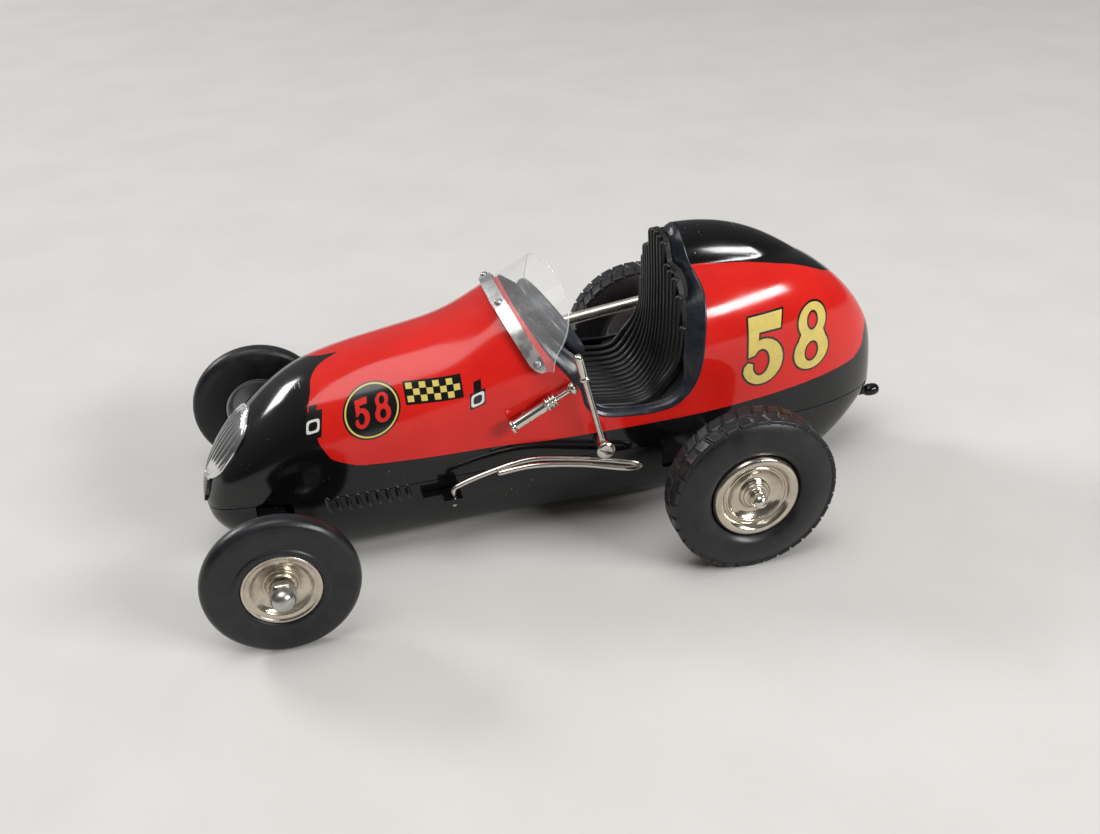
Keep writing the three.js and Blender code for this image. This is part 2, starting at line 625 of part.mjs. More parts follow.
function buildFrontAxle() {
  const half = [
    [0, BEAM_Z], [EAR_Y - BEAM_THICK - 0.8, BEAM_Z], [EAR_Y - BEAM_THICK, BEAM_Z - 0.8],
    [EAR_Y - BEAM_THICK, 20], [EAR_Y, 20], [EAR_Y, BEAM_Z + 0.2], [EAR_Y - 1.3, BEAM_Z + BEAM_THICK],
    [0, BEAM_Z + BEAM_THICK],
  ];
  const outline = [...half, ...half.slice(1, -1).reverse().map(([y, z]) => [-y, z])];
  const beam = plate(outline, -BEAM_HALF_WIDTH, BEAM_HALF_WIDTH);
  beam.rotateZ(Math.PI / 2);
  beam.translate(FRONT_AXLE_X, 0, 0);
  const reach = EAR_Y + 5;
  const end = (y) => vec(FRONT_AXLE_X, y, FRONT_WHEEL_R);
  const bore = rod(end(-reach), end(reach), STUB_R + 0.25);
  add('front_axle_beam', cut(beam, bore), 'enamel_black');

  [-1, 1].forEach((side) => {
    const name = side < 0 ? 'front_left' : 'front_right';
    const place = (geometry) => placeOnWheel(geometry, side, FRONT_AXLE_X, FRONT_FACE_Y, FRONT_WHEEL_R);
    const headY = EAR_Y - BEAM_THICK - REST_GAP - FRONT_FACE_Y;
    const shoulderY = EAR_Y + REST_GAP - FRONT_FACE_Y;
    const stub = join(
      turned([[0, headY - 2], [2.2, headY - 2], [2.2, headY], [STUB_R, headY], [STUB_R, 4.6], [0, 4.6]]),
      turned([[0, shoulderY], [2.8, shoulderY], [2.8, -8.1], [0, -8.1]]),
    );
    add(`${name}_stub_axle`, place(stub), 'steel');
    buildWheel(name, side, FRONT_PROFILE, FRONT_AXLE_X, FRONT_FACE_Y, FRONT_WHEEL_R);
    const hex = new THREE.CylinderGeometry(4.3, 4.3, 3, 6);
    hex.translate(0, 1, 0);
    const dome = turned([[0, 1.4], [3.5, 1.4], [3.5, 3.4], [3, 5.4], [1.8, 7], [0, 7.8]]);
    const thread = turned([[0, -2], [STUB_R + REST_GAP, -2], [STUB_R + REST_GAP, 5], [0, 5]]);
    add(`${name}_axle_nut`, place(cut(join(hex, dome), thread)), 'nickel');
  });
}

function buildRearAxle() {
  const reach = REAR_FACE_Y + 0.8;
  const axle = rod(vec(REAR_AXLE_X, -reach, REAR_WHEEL_R), vec(REAR_AXLE_X, reach, REAR_WHEEL_R), AXLE_R);
  add('rear_axle', axle, 'steel');
  [-1, 1].forEach((side) => {
    const name = side < 0 ? 'rear_left' : 'rear_right';
    buildWheel(name, side, REAR_PROFILE, REAR_AXLE_X, REAR_FACE_Y, REAR_WHEEL_R);
    const dome = turned([
      [AXLE_R + 0.3, 0], [3.6, 0], [3.6, 1.4], [3.1, 2.8], [2, 3.9], [0, 4.3], [0, 1.2], [AXLE_R + 0.3, 1.2],
    ]);
    const slot = block([-4, 3.4, -0.45], [4, 6, 0.45]);
    const nut = placeOnWheel(cut(dome, slot), side, REAR_AXLE_X, REAR_FACE_Y, REAR_WHEEL_R);
    add(`${name}_axle_nut`, nut, 'nickel');
  });
}

// ---------------------------------------------------------------- friction drive

const COUNTER = { x: 36.1, z: 25.4 };
const FLY = { x: 24.3, z: 23.3 };
const AXLE = { x: REAR_AXLE_X, z: REAR_WHEEL_R };
const PLATE_Y = 7.4; // inner face of each drive plate
const PLATE_THICK = 1.2;
const COUNTER_R = 1.2;
const WHEEL_TEETH = 24;
const PINION_TEETH = 10;
const distance = (a, b) => Math.hypot(a.x - b.x, a.z - b.z);
const heading = (a, b) => Math.atan2(b.z - a.z, b.x - a.x);
const primaryModule = (2 * distance(AXLE, COUNTER)) / (WHEEL_TEETH + PINION_TEETH);
const secondaryModule = (2 * distance(COUNTER, FLY)) / (WHEEL_TEETH + PINION_TEETH);

// Spur gear with slim, rounded teeth that leave backlash; a tooth is centred on the given angle.
function gear(centre, teeth, module, angle, yLow, yHigh) {
  const pitch = (teeth * module) / 2;
  const root = pitch - 1.2 * module;
  const tip = pitch + 0.85 * module;
  const step = (Math.PI * 2) / teeth;
  const outline = range(teeth).flatMap((i) => {
    const a = angle + i * step;
    return [[root, -0.34], [tip, -0.09], [tip, 0.09], [root, 0.34]].map(([r, offset]) => {
      const turn = a + offset * step;
      return [centre.x + r * Math.cos(turn), centre.z + r * Math.sin(turn)];
    });
  });
  return plate(outline, yLow, yHigh);
}

function buildDrive() {
  const holes = [
    { ...AXLE, r: AXLE_R + SHAFT_CLEARANCE },
    { ...COUNTER, r: COUNTER_R + SHAFT_CLEARANCE },
    { ...FLY, r: COUNTER_R + SHAFT_CLEARANCE },
  ];
  const outline = [[10, 8.2], [58, 8.2], [60, 12], [60, 33], [56, 36], [46, 36], [12, 30], [10, 27]];
  [-1, 1].forEach((side) => {
    const low = side < 0 ? -PLATE_Y - PLATE_THICK : PLATE_Y;
    const name = side < 0 ? 'left' : 'right';
    add(`drive_plate_${name}`, plate(outline, low, low + PLATE_THICK, holes), 'steel');
  });
  [[13.5, 12], [56, 13], [39, 12.5]].forEach(([x, z], i) => {
    const reach = PLATE_Y - REST_GAP;
    add(`drive_pillar_${i + 1}`, rod(vec(x, -reach, z), vec(x, reach, z), 1.4, 12), 'brass');
  });

  const axleHole = turned([[0, -10], [AXLE_R + REST_GAP, -10], [AXLE_R + REST_GAP, 10], [0, 10]]);
  axleHole.translate(AXLE.x, 0, AXLE.z);
  const toCounter = heading(AXLE, COUNTER);
  const axleGear = gear(AXLE, WHEEL_TEETH, primaryModule, toCounter, -6.2, -3.4);
  add('axle_gear', cut(axleGear, axleHole), 'brass');

  const toFly = heading(COUNTER, FLY);
  const halfTooth = Math.PI / PINION_TEETH;
  const end = PLATE_Y + PLATE_THICK + 0.6;
  const countershaft = join(
    rod(vec(COUNTER.x, -end, COUNTER.z), vec(COUNTER.x, end, COUNTER.z), COUNTER_R),
    gear(COUNTER, PINION_TEETH, primaryModule, toCounter + Math.PI - halfTooth, -6.5, -3.1),
    gear(COUNTER, WHEEL_TEETH, secondaryModule, toFly, -1.2, 1.4),
  );
  add('countershaft', countershaft, 'brass');

  const flywheelR = 13.4;
  const flyLow = PLATE_Y + PLATE_THICK + 0.8;
  const flyShaft = join(
    rod(vec(FLY.x, -end, FLY.z), vec(FLY.x, flyLow + 5, FLY.z), COUNTER_R),
    gear(FLY, PINION_TEETH, secondaryModule, toFly + Math.PI - halfTooth, -1.6, 1.8),
  );
  add('flywheel_shaft', flyShaft, 'steel');
  const bore = COUNTER_R + REST_GAP;
  const flywheel = turned([
    [bore, 0.3], [4, 0.3], [4.6, 1], [9.6, 1], [10.2, 0], [flywheelR, 0], [flywheelR, 4.2], [10.2, 4.2],
    [9.6, 3.2], [bore, 3.2],
  ], ROUND);
  flywheel.translate(FLY.x, flyLow, FLY.z);
  add('flywheel', flywheel, 'steel');
}

// ---------------------------------------------------------------- side fittings

const LEVER_PIVOT = vec(8.4, -34.6, 37);
const LEVER_TIP = vec(0.4, -34.6, 74.3);
const LEVER_ROD_R = 1;

function buildLever() {
  const length = LEVER_TIP.distanceTo(LEVER_PIVOT);
  const gripStart = length - 9.5;
  const handle = turned([
    [0, 1.4], [LEVER_ROD_R, 1.4], [LEVER_ROD_R, gripStart - 0.8], [1.7, gripStart - 0.6],
    [1.7, gripStart + 0.3], [1.4, gripStart + 0.6], [1.45, length - 1.6], [1.1, length - 0.5], [0, length],
  ], 10);
  const up = LEVER_TIP.clone().sub(LEVER_PIVOT).normalize();
  handle.applyQuaternion(new THREE.Quaternion().setFromUnitVectors(vec(0, 1, 0), up));
  const eye = turned([[0, -1], [2.5, -1], [2.5, 1], [0, 1]]);
  const hole = turned([[0, -3], [1.35, -3], [1.35, 3], [0, 3]]);
  const lever = cut(join(handle, eye), hole);
  lever.translate(...LEVER_PIVOT.toArray());
  add('hand_lever', lever, 'nickel');

  const bodyY = halfWidth(LEVER_PIVOT.x, LEVER_PIVOT.z) + REST_GAP;
  const outerY = -LEVER_PIVOT.y + 1 + REST_GAP;
  const innerY = -LEVER_PIVOT.y - 1 - REST_GAP;
  const screw = cut(turned([
    [0, -bodyY], [2.4, -bodyY], [2.4, -innerY], [1.2, -innerY], [1.2, -outerY], [3, -outerY],
    [3, -outerY - 0.5], [2.2, -outerY - 1.1], [0, -outerY - 1.3],
  ]), block([-4, -outerY - 3, -0.35], [4, -outerY - 0.7, 0.35]));
  screw.translate(LEVER_PIVOT.x, 0, LEVER_PIVOT.z);
  add('lever_screw', screw, 'nickel');
}

const PUMP_FOOT = vec(-22.3, -30.4, 48.9);
const PUMP_END = vec(0.6, -30.4, 60.5);

function buildPump() {
  const along = PUMP_END.clone().sub(PUMP_FOOT);
  const length = along.length();
  const turn = new THREE.Quaternion().setFromUnitVectors(vec(0, 1, 0), along.normalize());
  const place = (geometry) => {
    geometry.applyQuaternion(turn);
    geometry.translate(...PUMP_FOOT.toArray());
    return geometry;
  };
  const bore = 1.15;
  const barrel = turned([
    [bore, 1.2], [bore, 17.6], [2.6, 17.4], [2.6, 16.6], [2, 16.2], [2.6, 15.6], [2, 15], [2.6, 14.4],
    [1.9, 13.6], [1.9, 1.2], [2.7, 1], [2.7, 0], [0, 0], [0, 1.2],
  ], 12);
  add('pump_barrel', place(barrel), 'nickel');
  const plunger = turned([
    [0, 2.5], [0.95, 2.5], [0.95, length - 2.6], [1.5, length - 2.4], [2.2, length - 1.7],
    [2.2, length - 0.6], [1.3, length], [0, length],
  ], 12);
  add('pump_plunger', place(plunger), 'nickel');
  const saddle = PUMP_FOOT.clone().addScaledVector(along, 6);
  const inner = -(halfWidth(saddle.x, saddle.z) + REST_GAP);
  const outer = PUMP_FOOT.y + 1.9 + REST_GAP;
  add('pump_stud', rod(vec(saddle.x, inner, saddle.z), vec(saddle.x, outer, saddle.z), 1.3, 12), 'nickel');
}

const WIRE_R = 0.9;
const BRIDLE_PIN = vec(-44, -31.4, 0);
const BRACKET_LOW = 24.8;
const BRACKET_HIGH = 26.8;

function buildBridle() {
  const points = [
    [-44, -31.4, 23.6], [-44, -31.4, 27.4], [-43.6, -31.4, 29.6], [-41.8, -31.3, 30.6], [-30, -30.9, 33.6],
    [-17, -30.6, 35.2], [0, -31.4, 32.6], [16, -32.8, 28.8], [19.6, -33.8, 28.1], [20.8, -35, 27.9],
    [19.6, -36.2, 28.1], [16, -36.9, 28.6], [0, -35.2, 32.4], [-17, -34.2, 34.9], [-28, -33.3, 33.9],
  ];
  add('bridle_wire', wire(points.map((p) => vec(...p)), WIRE_R, 38, 6), 'nickel');
  const inner = -(halfWidth(-47, BRACKET_HIGH) + REST_GAP + 0.1);
  const bracket = cut(
    block([-54, -33.6, BRACKET_LOW], [-41.2, inner, BRACKET_HIGH]),
    block([-60, -40, BRACKET_LOW - 1], [-47.4, -29.4, BRACKET_HIGH + 1]),
    rod(vec(BRIDLE_PIN.x, BRIDLE_PIN.y, 20), vec(BRIDLE_PIN.x, BRIDLE_PIN.y, 30), WIRE_R + 0.3, 16),
  );
  add('bridle_bracket', bracket, 'enamel_black');
}

const EXHAUST_Y = 32.4;
const EXHAUST_R = 2.15;

function buildExhaust() {
  const start = halfWidth(-54, 43.6) + REST_GAP + 0.3;
  const path = [
    [-54, start, 43.6], [-53.6, start + 1.2, 43.7], [-51, 31.2, 44.2], [-45, EXHAUST_Y, 45.1],
    [-36, EXHAUST_Y, 46.4], [13, EXHAUST_Y, 52.7], [38, EXHAUST_Y, 55.4], [66, EXHAUST_Y, 58.4],
  ];
  add('exhaust_pipe', wire(path.map((p) => vec(...p)), EXHAUST_R, 16, 10), 'chrome');
  const x = 52;
  const z = 56.9;
  const inner = halfWidth(x, z) + REST_GAP;
  add('exhaust_stud', rod(vec(x, inner, z), vec(x, EXHAUST_Y - EXHAUST_R - REST_GAP, z), 1.2, 12), 'nickel');
}

// The tail screw ends as far behind the middle as the front tyres reach ahead of it.
function buildTailScrew() {
  const screw = turned([
    [0, 0], [TAIL_SCREW_R, 0], [TAIL_SCREW_R, 13.8], [2, 14.6], [2.4, 16.2], [2.3, 18.2], [1.5, 19.5],
    [0, 20],
  ]);
  screw.rotateZ(-Math.PI / 2);
  screw.translate(FRONT_WHEEL_R - FRONT_AXLE_X - 20, 0, TAIL_SCREW_Z);
  add('tail_screw', screw, 'enamel_black');
}

buildBody();
buildCoaming();
buildGrille();
buildSteering();
buildScreen();
buildSeat();
buildFrontAxle();
buildRearAxle();
buildDrive();
buildLever();
buildPump();
buildBridle();
buildExhaust();
buildTailScrew();

export default car;
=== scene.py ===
# Looks of a tin midget racing car with a friction drive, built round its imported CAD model.
# Shapes are worked out in millimetres and become metres where a mesh is made.
# +Z up, nose towards -X, the car's left side towards -Y, ground at z = 0.

import math

import bmesh
import bpy
import numpy as np
from mathutils import Matrix, Vector
from mathutils.bvhtree import BVHTree


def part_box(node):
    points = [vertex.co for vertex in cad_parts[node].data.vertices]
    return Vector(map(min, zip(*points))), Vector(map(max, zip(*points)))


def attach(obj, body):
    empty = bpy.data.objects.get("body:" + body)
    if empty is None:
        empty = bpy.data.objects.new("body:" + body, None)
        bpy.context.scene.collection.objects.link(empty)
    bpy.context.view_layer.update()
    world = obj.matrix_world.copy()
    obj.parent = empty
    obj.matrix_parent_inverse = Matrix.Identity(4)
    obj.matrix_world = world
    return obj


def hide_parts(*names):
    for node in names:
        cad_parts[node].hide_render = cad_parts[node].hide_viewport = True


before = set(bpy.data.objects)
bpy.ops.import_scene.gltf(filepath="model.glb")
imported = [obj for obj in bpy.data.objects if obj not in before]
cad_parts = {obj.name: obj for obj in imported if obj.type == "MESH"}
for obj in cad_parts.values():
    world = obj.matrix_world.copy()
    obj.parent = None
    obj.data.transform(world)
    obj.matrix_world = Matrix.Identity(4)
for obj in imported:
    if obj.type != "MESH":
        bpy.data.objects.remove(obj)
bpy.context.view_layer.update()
MM = 0.001
SIDES = {"left": -1, "right": 1}


def node_box(name):
    """Lowest and highest corner of a CAD node, in millimetres."""
    return tuple(np.array(corner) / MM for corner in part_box(name))


# ---------------------------------------------------------------- curves

def vec(*values):
    return np.array(values, float)


def unit(vectors):
    return vectors / np.maximum(np.linalg.norm(vectors, axis=-1, keepdims=True), 1e-12)


def ease(t):
    t = np.clip(t, 0, 1)
    return t * t * (3 - 2 * t)


def curve(points):
    """Smooth function through (x, value) points that never overshoots them."""
    xs, values = np.array(points, float).T
    slope = np.diff(values) / np.diff(xs)
    inner = [0 if a * b <= 0 else 2 * a * b / (a + b) for a, b in zip(slope, slope[1:])]
    tangent = np.array([slope[0], *inner, slope[-1]])

    def at(x):
        x = np.clip(np.asarray(x, float), xs[0], xs[-1])
        i = np.clip(np.searchsorted(xs, x, side="right") - 1, 0, len(xs) - 2)
        h = xs[i + 1] - xs[i]
        u = (x - xs[i]) / h
        start = (2 * u**3 - 3 * u**2 + 1) * values[i] + (u**3 - 2 * u**2 + u) * h * tangent[i]
        return start + (3 * u**2 - 2 * u**3) * values[i + 1] + (u**3 - u**2) * h * tangent[i + 1]

    return at


def blurred(points, blur=5.0):
    """The curve through the points, averaged over a few millimetres so that its bends are even."""
    raw = curve(points)
    low, high = points[0][0], points[-1][0]
    xs = np.linspace(low, high, int((high - low) * 4) + 1)
    width = np.minimum(blur, np.minimum(xs - low, high - xs) * 0.3)
    taps = np.linspace(-2, 2, 21)
    weights = np.exp(-taps**2)
    values = sum(w * raw(xs + tap * width) for tap, w in zip(taps, weights / weights.sum()))
    return lambda x: np.interp(x, xs, values)


def resample(points, count):
    """Evenly spaced points along a polyline."""
    points = np.asarray(points, float)
    steps = np.linalg.norm(np.diff(points, axis=0), axis=1)
    along = np.concatenate([[0], np.cumsum(steps)])
    wanted = np.linspace(0, along[-1], count)
    return np.stack([np.interp(wanted, along, column) for column in points.T], 1)


def spline(points, count):
    """Evenly spaced points on a smooth line through the given ones."""
    points = np.asarray(points, float)
    padded = np.vstack([2 * points[0] - points[1], points, 2 * points[-1] - points[-2]])
    line = []
    for four in zip(padded, padded[1:], padded[2:], padded[3:]):
        knots = [0]
        for a, b in zip(four, four[1:]):
            knots.append(knots[-1] + max(np.linalg.norm(b - a), 1e-9) ** 0.5)
        for t in np.linspace(knots[1], knots[2], 16, endpoint=False):
            level = four
            for spans in (((0, 1), (1, 2), (2, 3)), ((0, 2), (1, 3)), ((1, 2),)):
                level = [
                    (knots[j] - t) / (knots[j] - knots[i]) * a + (t - knots[i]) / (knots[j] - knots[i]) * b
                    for (i, j), a, b in zip(spans, level, level[1:])
                ]
            line.append(level[0])
    line.append(points[-1])
    return resample(line, count)


def rounded(outline, radius, closed=True, steps=4):
    """An outline with each corner turned into a small arc."""
    outline = np.asarray(outline, float)
    count = len(outline)
    result = []
    for i, corner in enumerate(outline):
        if not closed and i in (0, count - 1):
            result.append(corner)
            continue
        before, after = outline[i - 1] - corner, outline[(i + 1) % count] - corner
        lengths = [np.linalg.norm(before), np.linalg.norm(after)]
        reach = min(radius, 0.45 * min(lengths))
        start, end = corner + before / lengths[0] * reach, corner + after / lengths[1] * reach
        for t in np.linspace(0, 1, steps + 1):
            result.append((1 - t) ** 2 * start + 2 * t * (1 - t) * corner + t * t * end)
    return np.array(result)


def box(left, right, low, high):
    """Outline of a rectangle."""
    return [(left, low), (right, low), (right, high), (left, high)]


def circle(count):
    """Evenly spaced angles round a full turn."""
    return np.arange(count) / count * 2 * math.pi


# ---------------------------------------------------------------- meshes

class Shape:
    """Points in millimetres and the faces between them."""

    def __init__(self):
        self.points = []
        self.faces = []

    def add(self, points, faces):
        start = len(self.points)
        self.points.extend(np.asarray(points, float))
        self.faces.extend(tuple(start + i for i in face) for face in faces)
        return self

    def grid(self, rows, wrap_rows=False, wrap_columns=False, caps=False):
        rows = np.asarray(rows, float)
        n, m = rows.shape[:2]
        faces = []
        for i in range(n if wrap_rows else n - 1):
            for j in range(m if wrap_columns else m - 1):
                a, b = i * m + j, i * m + (j + 1) % m
                c, d = (i + 1) % n * m + (j + 1) % m, (i + 1) % n * m + j
                faces.append((a, b, c, d))
        if caps:
            faces += [tuple(range(m)), tuple(range(n * m - 1, (n - 1) * m - 1, -1))]
        return self.add(rows.reshape(-1, 3), faces)

    def skin(self, outer, inner):
        """Closed body between two grids of points."""
        outer, inner = np.asarray(outer, float), np.asarray(inner, float)
        self.grid(np.concatenate([outer, inner[:, ::-1]], 1), wrap_columns=True)
        for i in (0, len(outer) - 1):
            self.grid(np.stack([outer[i], inner[i]]))
        return self

    def tube(self, path, radius, segments=16, round_ends=True, squash=1.0):
        """Round bar along a path; radius is one number or one per point."""
        path = np.asarray(path, float)
        radius = np.ones(len(path)) * radius
        if round_ends:
            angles = np.linspace(0, math.pi / 2, 6)[:-1]
            first, last = unit(path[0] - path[1]), unit(path[-1] - path[-2])
            start = [path[0] + first * radius[0] * math.cos(a) for a in angles]
            end = [path[-1] + last * radius[-1] * math.cos(a) for a in angles[::-1]]
            path = np.vstack([start, path, end])
            taper = np.maximum(np.sin(angles), 0.02)
            radius = np.concatenate([radius[0] * taper, radius, radius[-1] * taper[::-1]])
        along = unit(np.gradient(path, axis=0))
        side = unit(np.cross(along[0], vec(0, 0, 1) if abs(along[0][2]) < 0.9 else vec(1, 0, 0)))
        rings = []
        turn = circle(segments)
        for point, direction, r in zip(path, along, radius):
            side = unit(side - direction * side.dot(direction))
            other = np.cross(direction, side)
            rings.append(point + r * (np.outer(np.cos(turn), side) + squash * np.outer(np.sin(turn), other)))
        return self.grid(rings, wrap_columns=True, caps=True)

    def turned(self, profile, origin, axis, segments, bevel=0, steps=4, carve=None):
        """Solid of revolution from (radius, along) points that end on the axis or close on themselves.

        Corners get the bevel, and carve changes the radius by the turn angle and the profile point."""
        closed = profile[0][0] > 0
        profile = rounded(profile, bevel, closed, steps) if bevel else np.asarray(profile, float)
        axis = unit(np.asarray(axis, float))
        across = unit(vec(0, 0, 1) - axis * axis[2])
        turn = circle(segments)
        ring = np.outer(np.cos(turn), across) + np.outer(np.sin(turn), np.cross(axis, across))
        radius = np.repeat(profile[:, :1], segments, 1)
        if carve:
            radius = radius + carve(turn[None, :], profile)
        rows = np.asarray(origin, float) + radius[..., None] * ring + profile[:, 1, None, None] * axis
        return self.grid(rows, wrap_rows=closed, wrap_columns=True)


def new_object(name, mesh):
    obj = bpy.data.objects.new(name, mesh)
    bpy.context.scene.collection.objects.link(obj)
    return obj


def make(name, shape, sharp=40):
    """Welded, smooth-shaded object in metres from a shape in millimetres."""
    mesh = bpy.data.meshes.new(name)
    mesh.from_pydata((np.array(shape.points) * MM).tolist(), [], shape.faces)
    bm = bmesh.new()
    bm.from_mesh(mesh)
    bmesh.ops.remove_doubles(bm, verts=bm.verts, dist=0.002 * MM)
    bmesh.ops.recalc_face_normals(bm, faces=bm.faces)
    for face in bm.faces:
        face.smooth = True
    bm.to_mesh(mesh)
    bm.free()
    mesh.set_sharp_from_angle(angle=math.radians(sharp))
    return new_object(name, mesh)


def piece(obj, body, finish, replaces=()):
    """Gives a piece its material, hangs it on the body that it rides on and hides the CAD nodes that it
    stands for.
    """
    slot, material = finish
    obj.data.materials.clear()
    obj.data.materials.append(material)
    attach(obj, body)
    if replaces:
        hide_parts(*replaces)


def evaluated_mesh(obj):
    return bpy.data.meshes.new_from_object(obj.evaluated_get(bpy.context.evaluated_depsgraph_get()))


def turned_piece(name, profile, origin, axis, segments, bevel, sharp, finish, node, body="car", steps=4):
    """A piece that is one solid of revolution and replaces one CAD node."""
    shape = Shape().turned(profile, origin, axis, segments, bevel, steps)
    piece(make(name, shape, sharp), body, finish, [node])


def vertices(obj):
    flat = np.zeros(len(obj.data.vertices) * 3)
    obj.data.vertices.foreach_get("co", flat)
    return flat.reshape(-1, 3) / MM


# ---------------------------------------------------------------- body surface

BODY_LOW, BODY_HIGH = node_box("body_shell")
NOSE_X, TAIL_X = BODY_LOW[0], BODY_HIGH[0]
HOOD_HALF_WIDTH = 26.3
COCKPIT_HALF_WIDTH = 29.4
SHEET = 0.9
SEAM_GAP = 0.3
END_Z = 25
FLOOR_Z = 6.3
UPPER_ROUND = 2.15
LOWER_ROUND = 3.5
FLOOR_CUT = 3

hood_top = blurred([
    (NOSE_X, END_Z), (-124.9, 29.3), (-123.5, 33.2), (-119.5, 40), (-112.5, 49), (-105, 56.3), (-97, 62.4),
    (-86, 68.2), (-70, 72.2), (-52, 75), (-40, 76.9), (-32, 79.6), (-24, 83.8), (-17, 87.2), (10, 91),
    (45, 89.5), (57, 89.4), (68, 88.6), (84, 86), (92, 82.4), (103, 74.2), (109.6, 67.6), (118, 55.5),
    (121.6, 46), (122.8, 36), (TAIL_X, 26),
])
headrest_top = blurred([
    (25, 97), (48, 99.5), (55.5, 98.9), (65, 96.9), (74, 93.5), (84, 87.8), (92, 82), (100, 74),
])
bottom = blurred([
    (NOSE_X, END_Z), (-124.6, 20.6), (-121.6, 16.4), (-116.6, 13), (-109.6, 10.4), (-99, 8.3), (-88, 7),
    (-72, FLOOR_Z), (86, FLOOR_Z), (95, 7.2), (101, 9.2), (107, 12.4), (113, 16.6), (118, 20.6),
    (121.5, 23.6), (TAIL_X, 26),
], 3)
widest_z = blurred([
    (NOSE_X, END_Z), (-117, 32), (-100, 40), (-60, 47), (-17, 55), (15, 50), (60, 50), (95, 45),
    (118, 34), (TAIL_X, 26),
], 8)
seam_z = curve([(NOSE_X, END_Z), (-115, 28.5), (-100, 31), (62, 31), (100, 28), (TAIL_X, 26)])
HEADREST = (25, 99)
HEADREST_DEPTH = 14
HEADREST_ROUND = 2.05
CREASE = 1.2
headrest_half = curve([(25, 13), (66, 12.6), (84, 10), (96, 3)])


def widest_half(x):
    half = HOOD_HALF_WIDTH + (COCKPIT_HALF_WIDTH - HOOD_HALF_WIDTH) * ease((x + 35) / 60)
    nose = (np.maximum(0, -60 - x) / (-60 - NOSE_X)) ** 2.6
    tail = (np.maximum(0, x - 30) / (TAIL_X - 30)) ** 2
    return half * np.maximum(0, 1 - nose) ** (1 / 2.6) * np.maximum(0, 1 - tail) ** (1 / 1.7)


def half_width(x, z):
    """Half width of the body at a station x and height z."""
    x, z = np.broadcast_arrays(np.asarray(x, float), np.asarray(z, float))
    widest = widest_z(x)
    upper = z > widest
    cut = FLOOR_CUT * ease((x - NOSE_X - 2) / 25) * ease((TAIL_X - 2 - x) / 25)
    reach = np.maximum(np.where(upper, hood_top(x) - widest, widest - bottom(x) + cut), 1e-6)
    power = np.where(upper, UPPER_ROUND, LOWER_ROUND)
    t = np.minimum(np.abs(z - widest) / reach, 1)
    body = widest_half(x) * (1 - t**power) ** (1 / power)
    base = hood_top(x) - HEADREST_DEPTH
    rise = np.clip((z - base) / np.maximum(headrest_top(x) - base, 1e-6), 0, 1)
    side = headrest_half(x) * (1 - rise**HEADREST_ROUND) ** (1 / HEADREST_ROUND)
    fillet = np.minimum(CREASE, np.minimum(body, side))
    h = np.clip(0.5 + (body - side) / (2 * np.maximum(fillet, 1e-6)), 0, 1)
    joined = body * h + side * (1 - h) + fillet * h * (1 - h)
    return np.where((x > HEADREST[0]) & (x < HEADREST[1]) & upper, joined, body)


def top_z(x):
    hood = hood_top(x)
    return max(hood, headrest_top(x)) if HEADREST[0] < x < HEADREST[1] else hood


def half_section(x, start, end, count):
    """Half of a cross-section between two heights as evenly spaced (half width, z) points."""
    z = start + (end - start) * np.sin(np.linspace(0, math.pi / 2, 241))
    y = half_width(x, z)
    y[-1] = 0
    return resample(np.stack([y, z], 1), count)


# The upper surface by station and arc length from the top centre line.
MAP_X = np.arange(-124.5, 122.2, 0.5)
MAP_ARC = np.arange(0, 80, 0.5)
MAP_ANGLE = np.linspace(0, 2.4, 300)
PIVOT_Z = 30


def build_maps():
    places, arcs = [], []
    for x in MAP_X:
        low = bottom(x) + 0.2 * (seam_z(x) - bottom(x))
        line = half_section(x, low, top_z(x), 300)[::-1]
        steps = np.linalg.norm(np.diff(line, axis=0), axis=1)
        along = np.concatenate([[0], np.cumsum(steps)])
        places.append(np.stack([np.interp(MAP_ARC, along, column) for column in line.T], 1))
        angle = np.maximum.accumulate(np.arctan2(line[:, 0], line[:, 1] - PIVOT_Z))
        arcs.append(np.interp(MAP_ANGLE, angle, along))
    return np.array(places), np.array(arcs)


SECTION_MAP, ARC_MAP = build_maps()


def bilinear(table, u, v):
    i = np.clip(np.floor(u).astype(int), 0, table.shape[0] - 2)
    j = np.clip(np.floor(v).astype(int), 0, table.shape[1] - 2)
    s, t = np.clip(u - i, 0, 1), np.clip(v - j, 0, 1)
    if table.ndim == 3:
        s, t = s[..., None], t[..., None]
    near = table[i, j] * (1 - t) + table[i, j + 1] * t
    far = table[i + 1, j] * (1 - t) + table[i + 1, j + 1] * t
    return near * (1 - s) + far * s


def on_arc(x, arc, side):
    """Point of the body's outside at a station, an arc length down from the top and a side (-1 or 1)."""
    x, arc = np.asarray(x, float), np.asarray(arc, float)
    found = bilinear(SECTION_MAP, (x - MAP_X[0]) / 0.5, np.abs(arc) / 0.5)
    return np.stack([x, side * found[..., 0] * np.where(arc < 0, -1, 1), found[..., 1] + SEAM_GAP / 2], -1)


def on_side(x, z, side):
    """Point of the body's outside at a station, a height and a side."""
    return np.stack([np.asarray(x, float), side * half_width(x, z - SEAM_GAP / 2), np.asarray(z, float)], -1)


def lifted(surface, u, v, side, lift):
    """Point above a body surface by the given height along its normal."""
    step = 0.6
    along = surface(u + step, v, side) - surface(u - step, v, side)
    around = surface(u, v + step, side) - surface(u, v - step, side)
    normal = unit(np.cross(along, around))
    point = surface(u, v, side)
    outward = np.stack([point[..., 0] * 0, point[..., 1], point[..., 2] - PIVOT_Z - 8], -1)
    sign = np.sign((normal * outward).sum(-1, keepdims=True))
    return point + normal * sign * np.asarray(lift)[..., None]


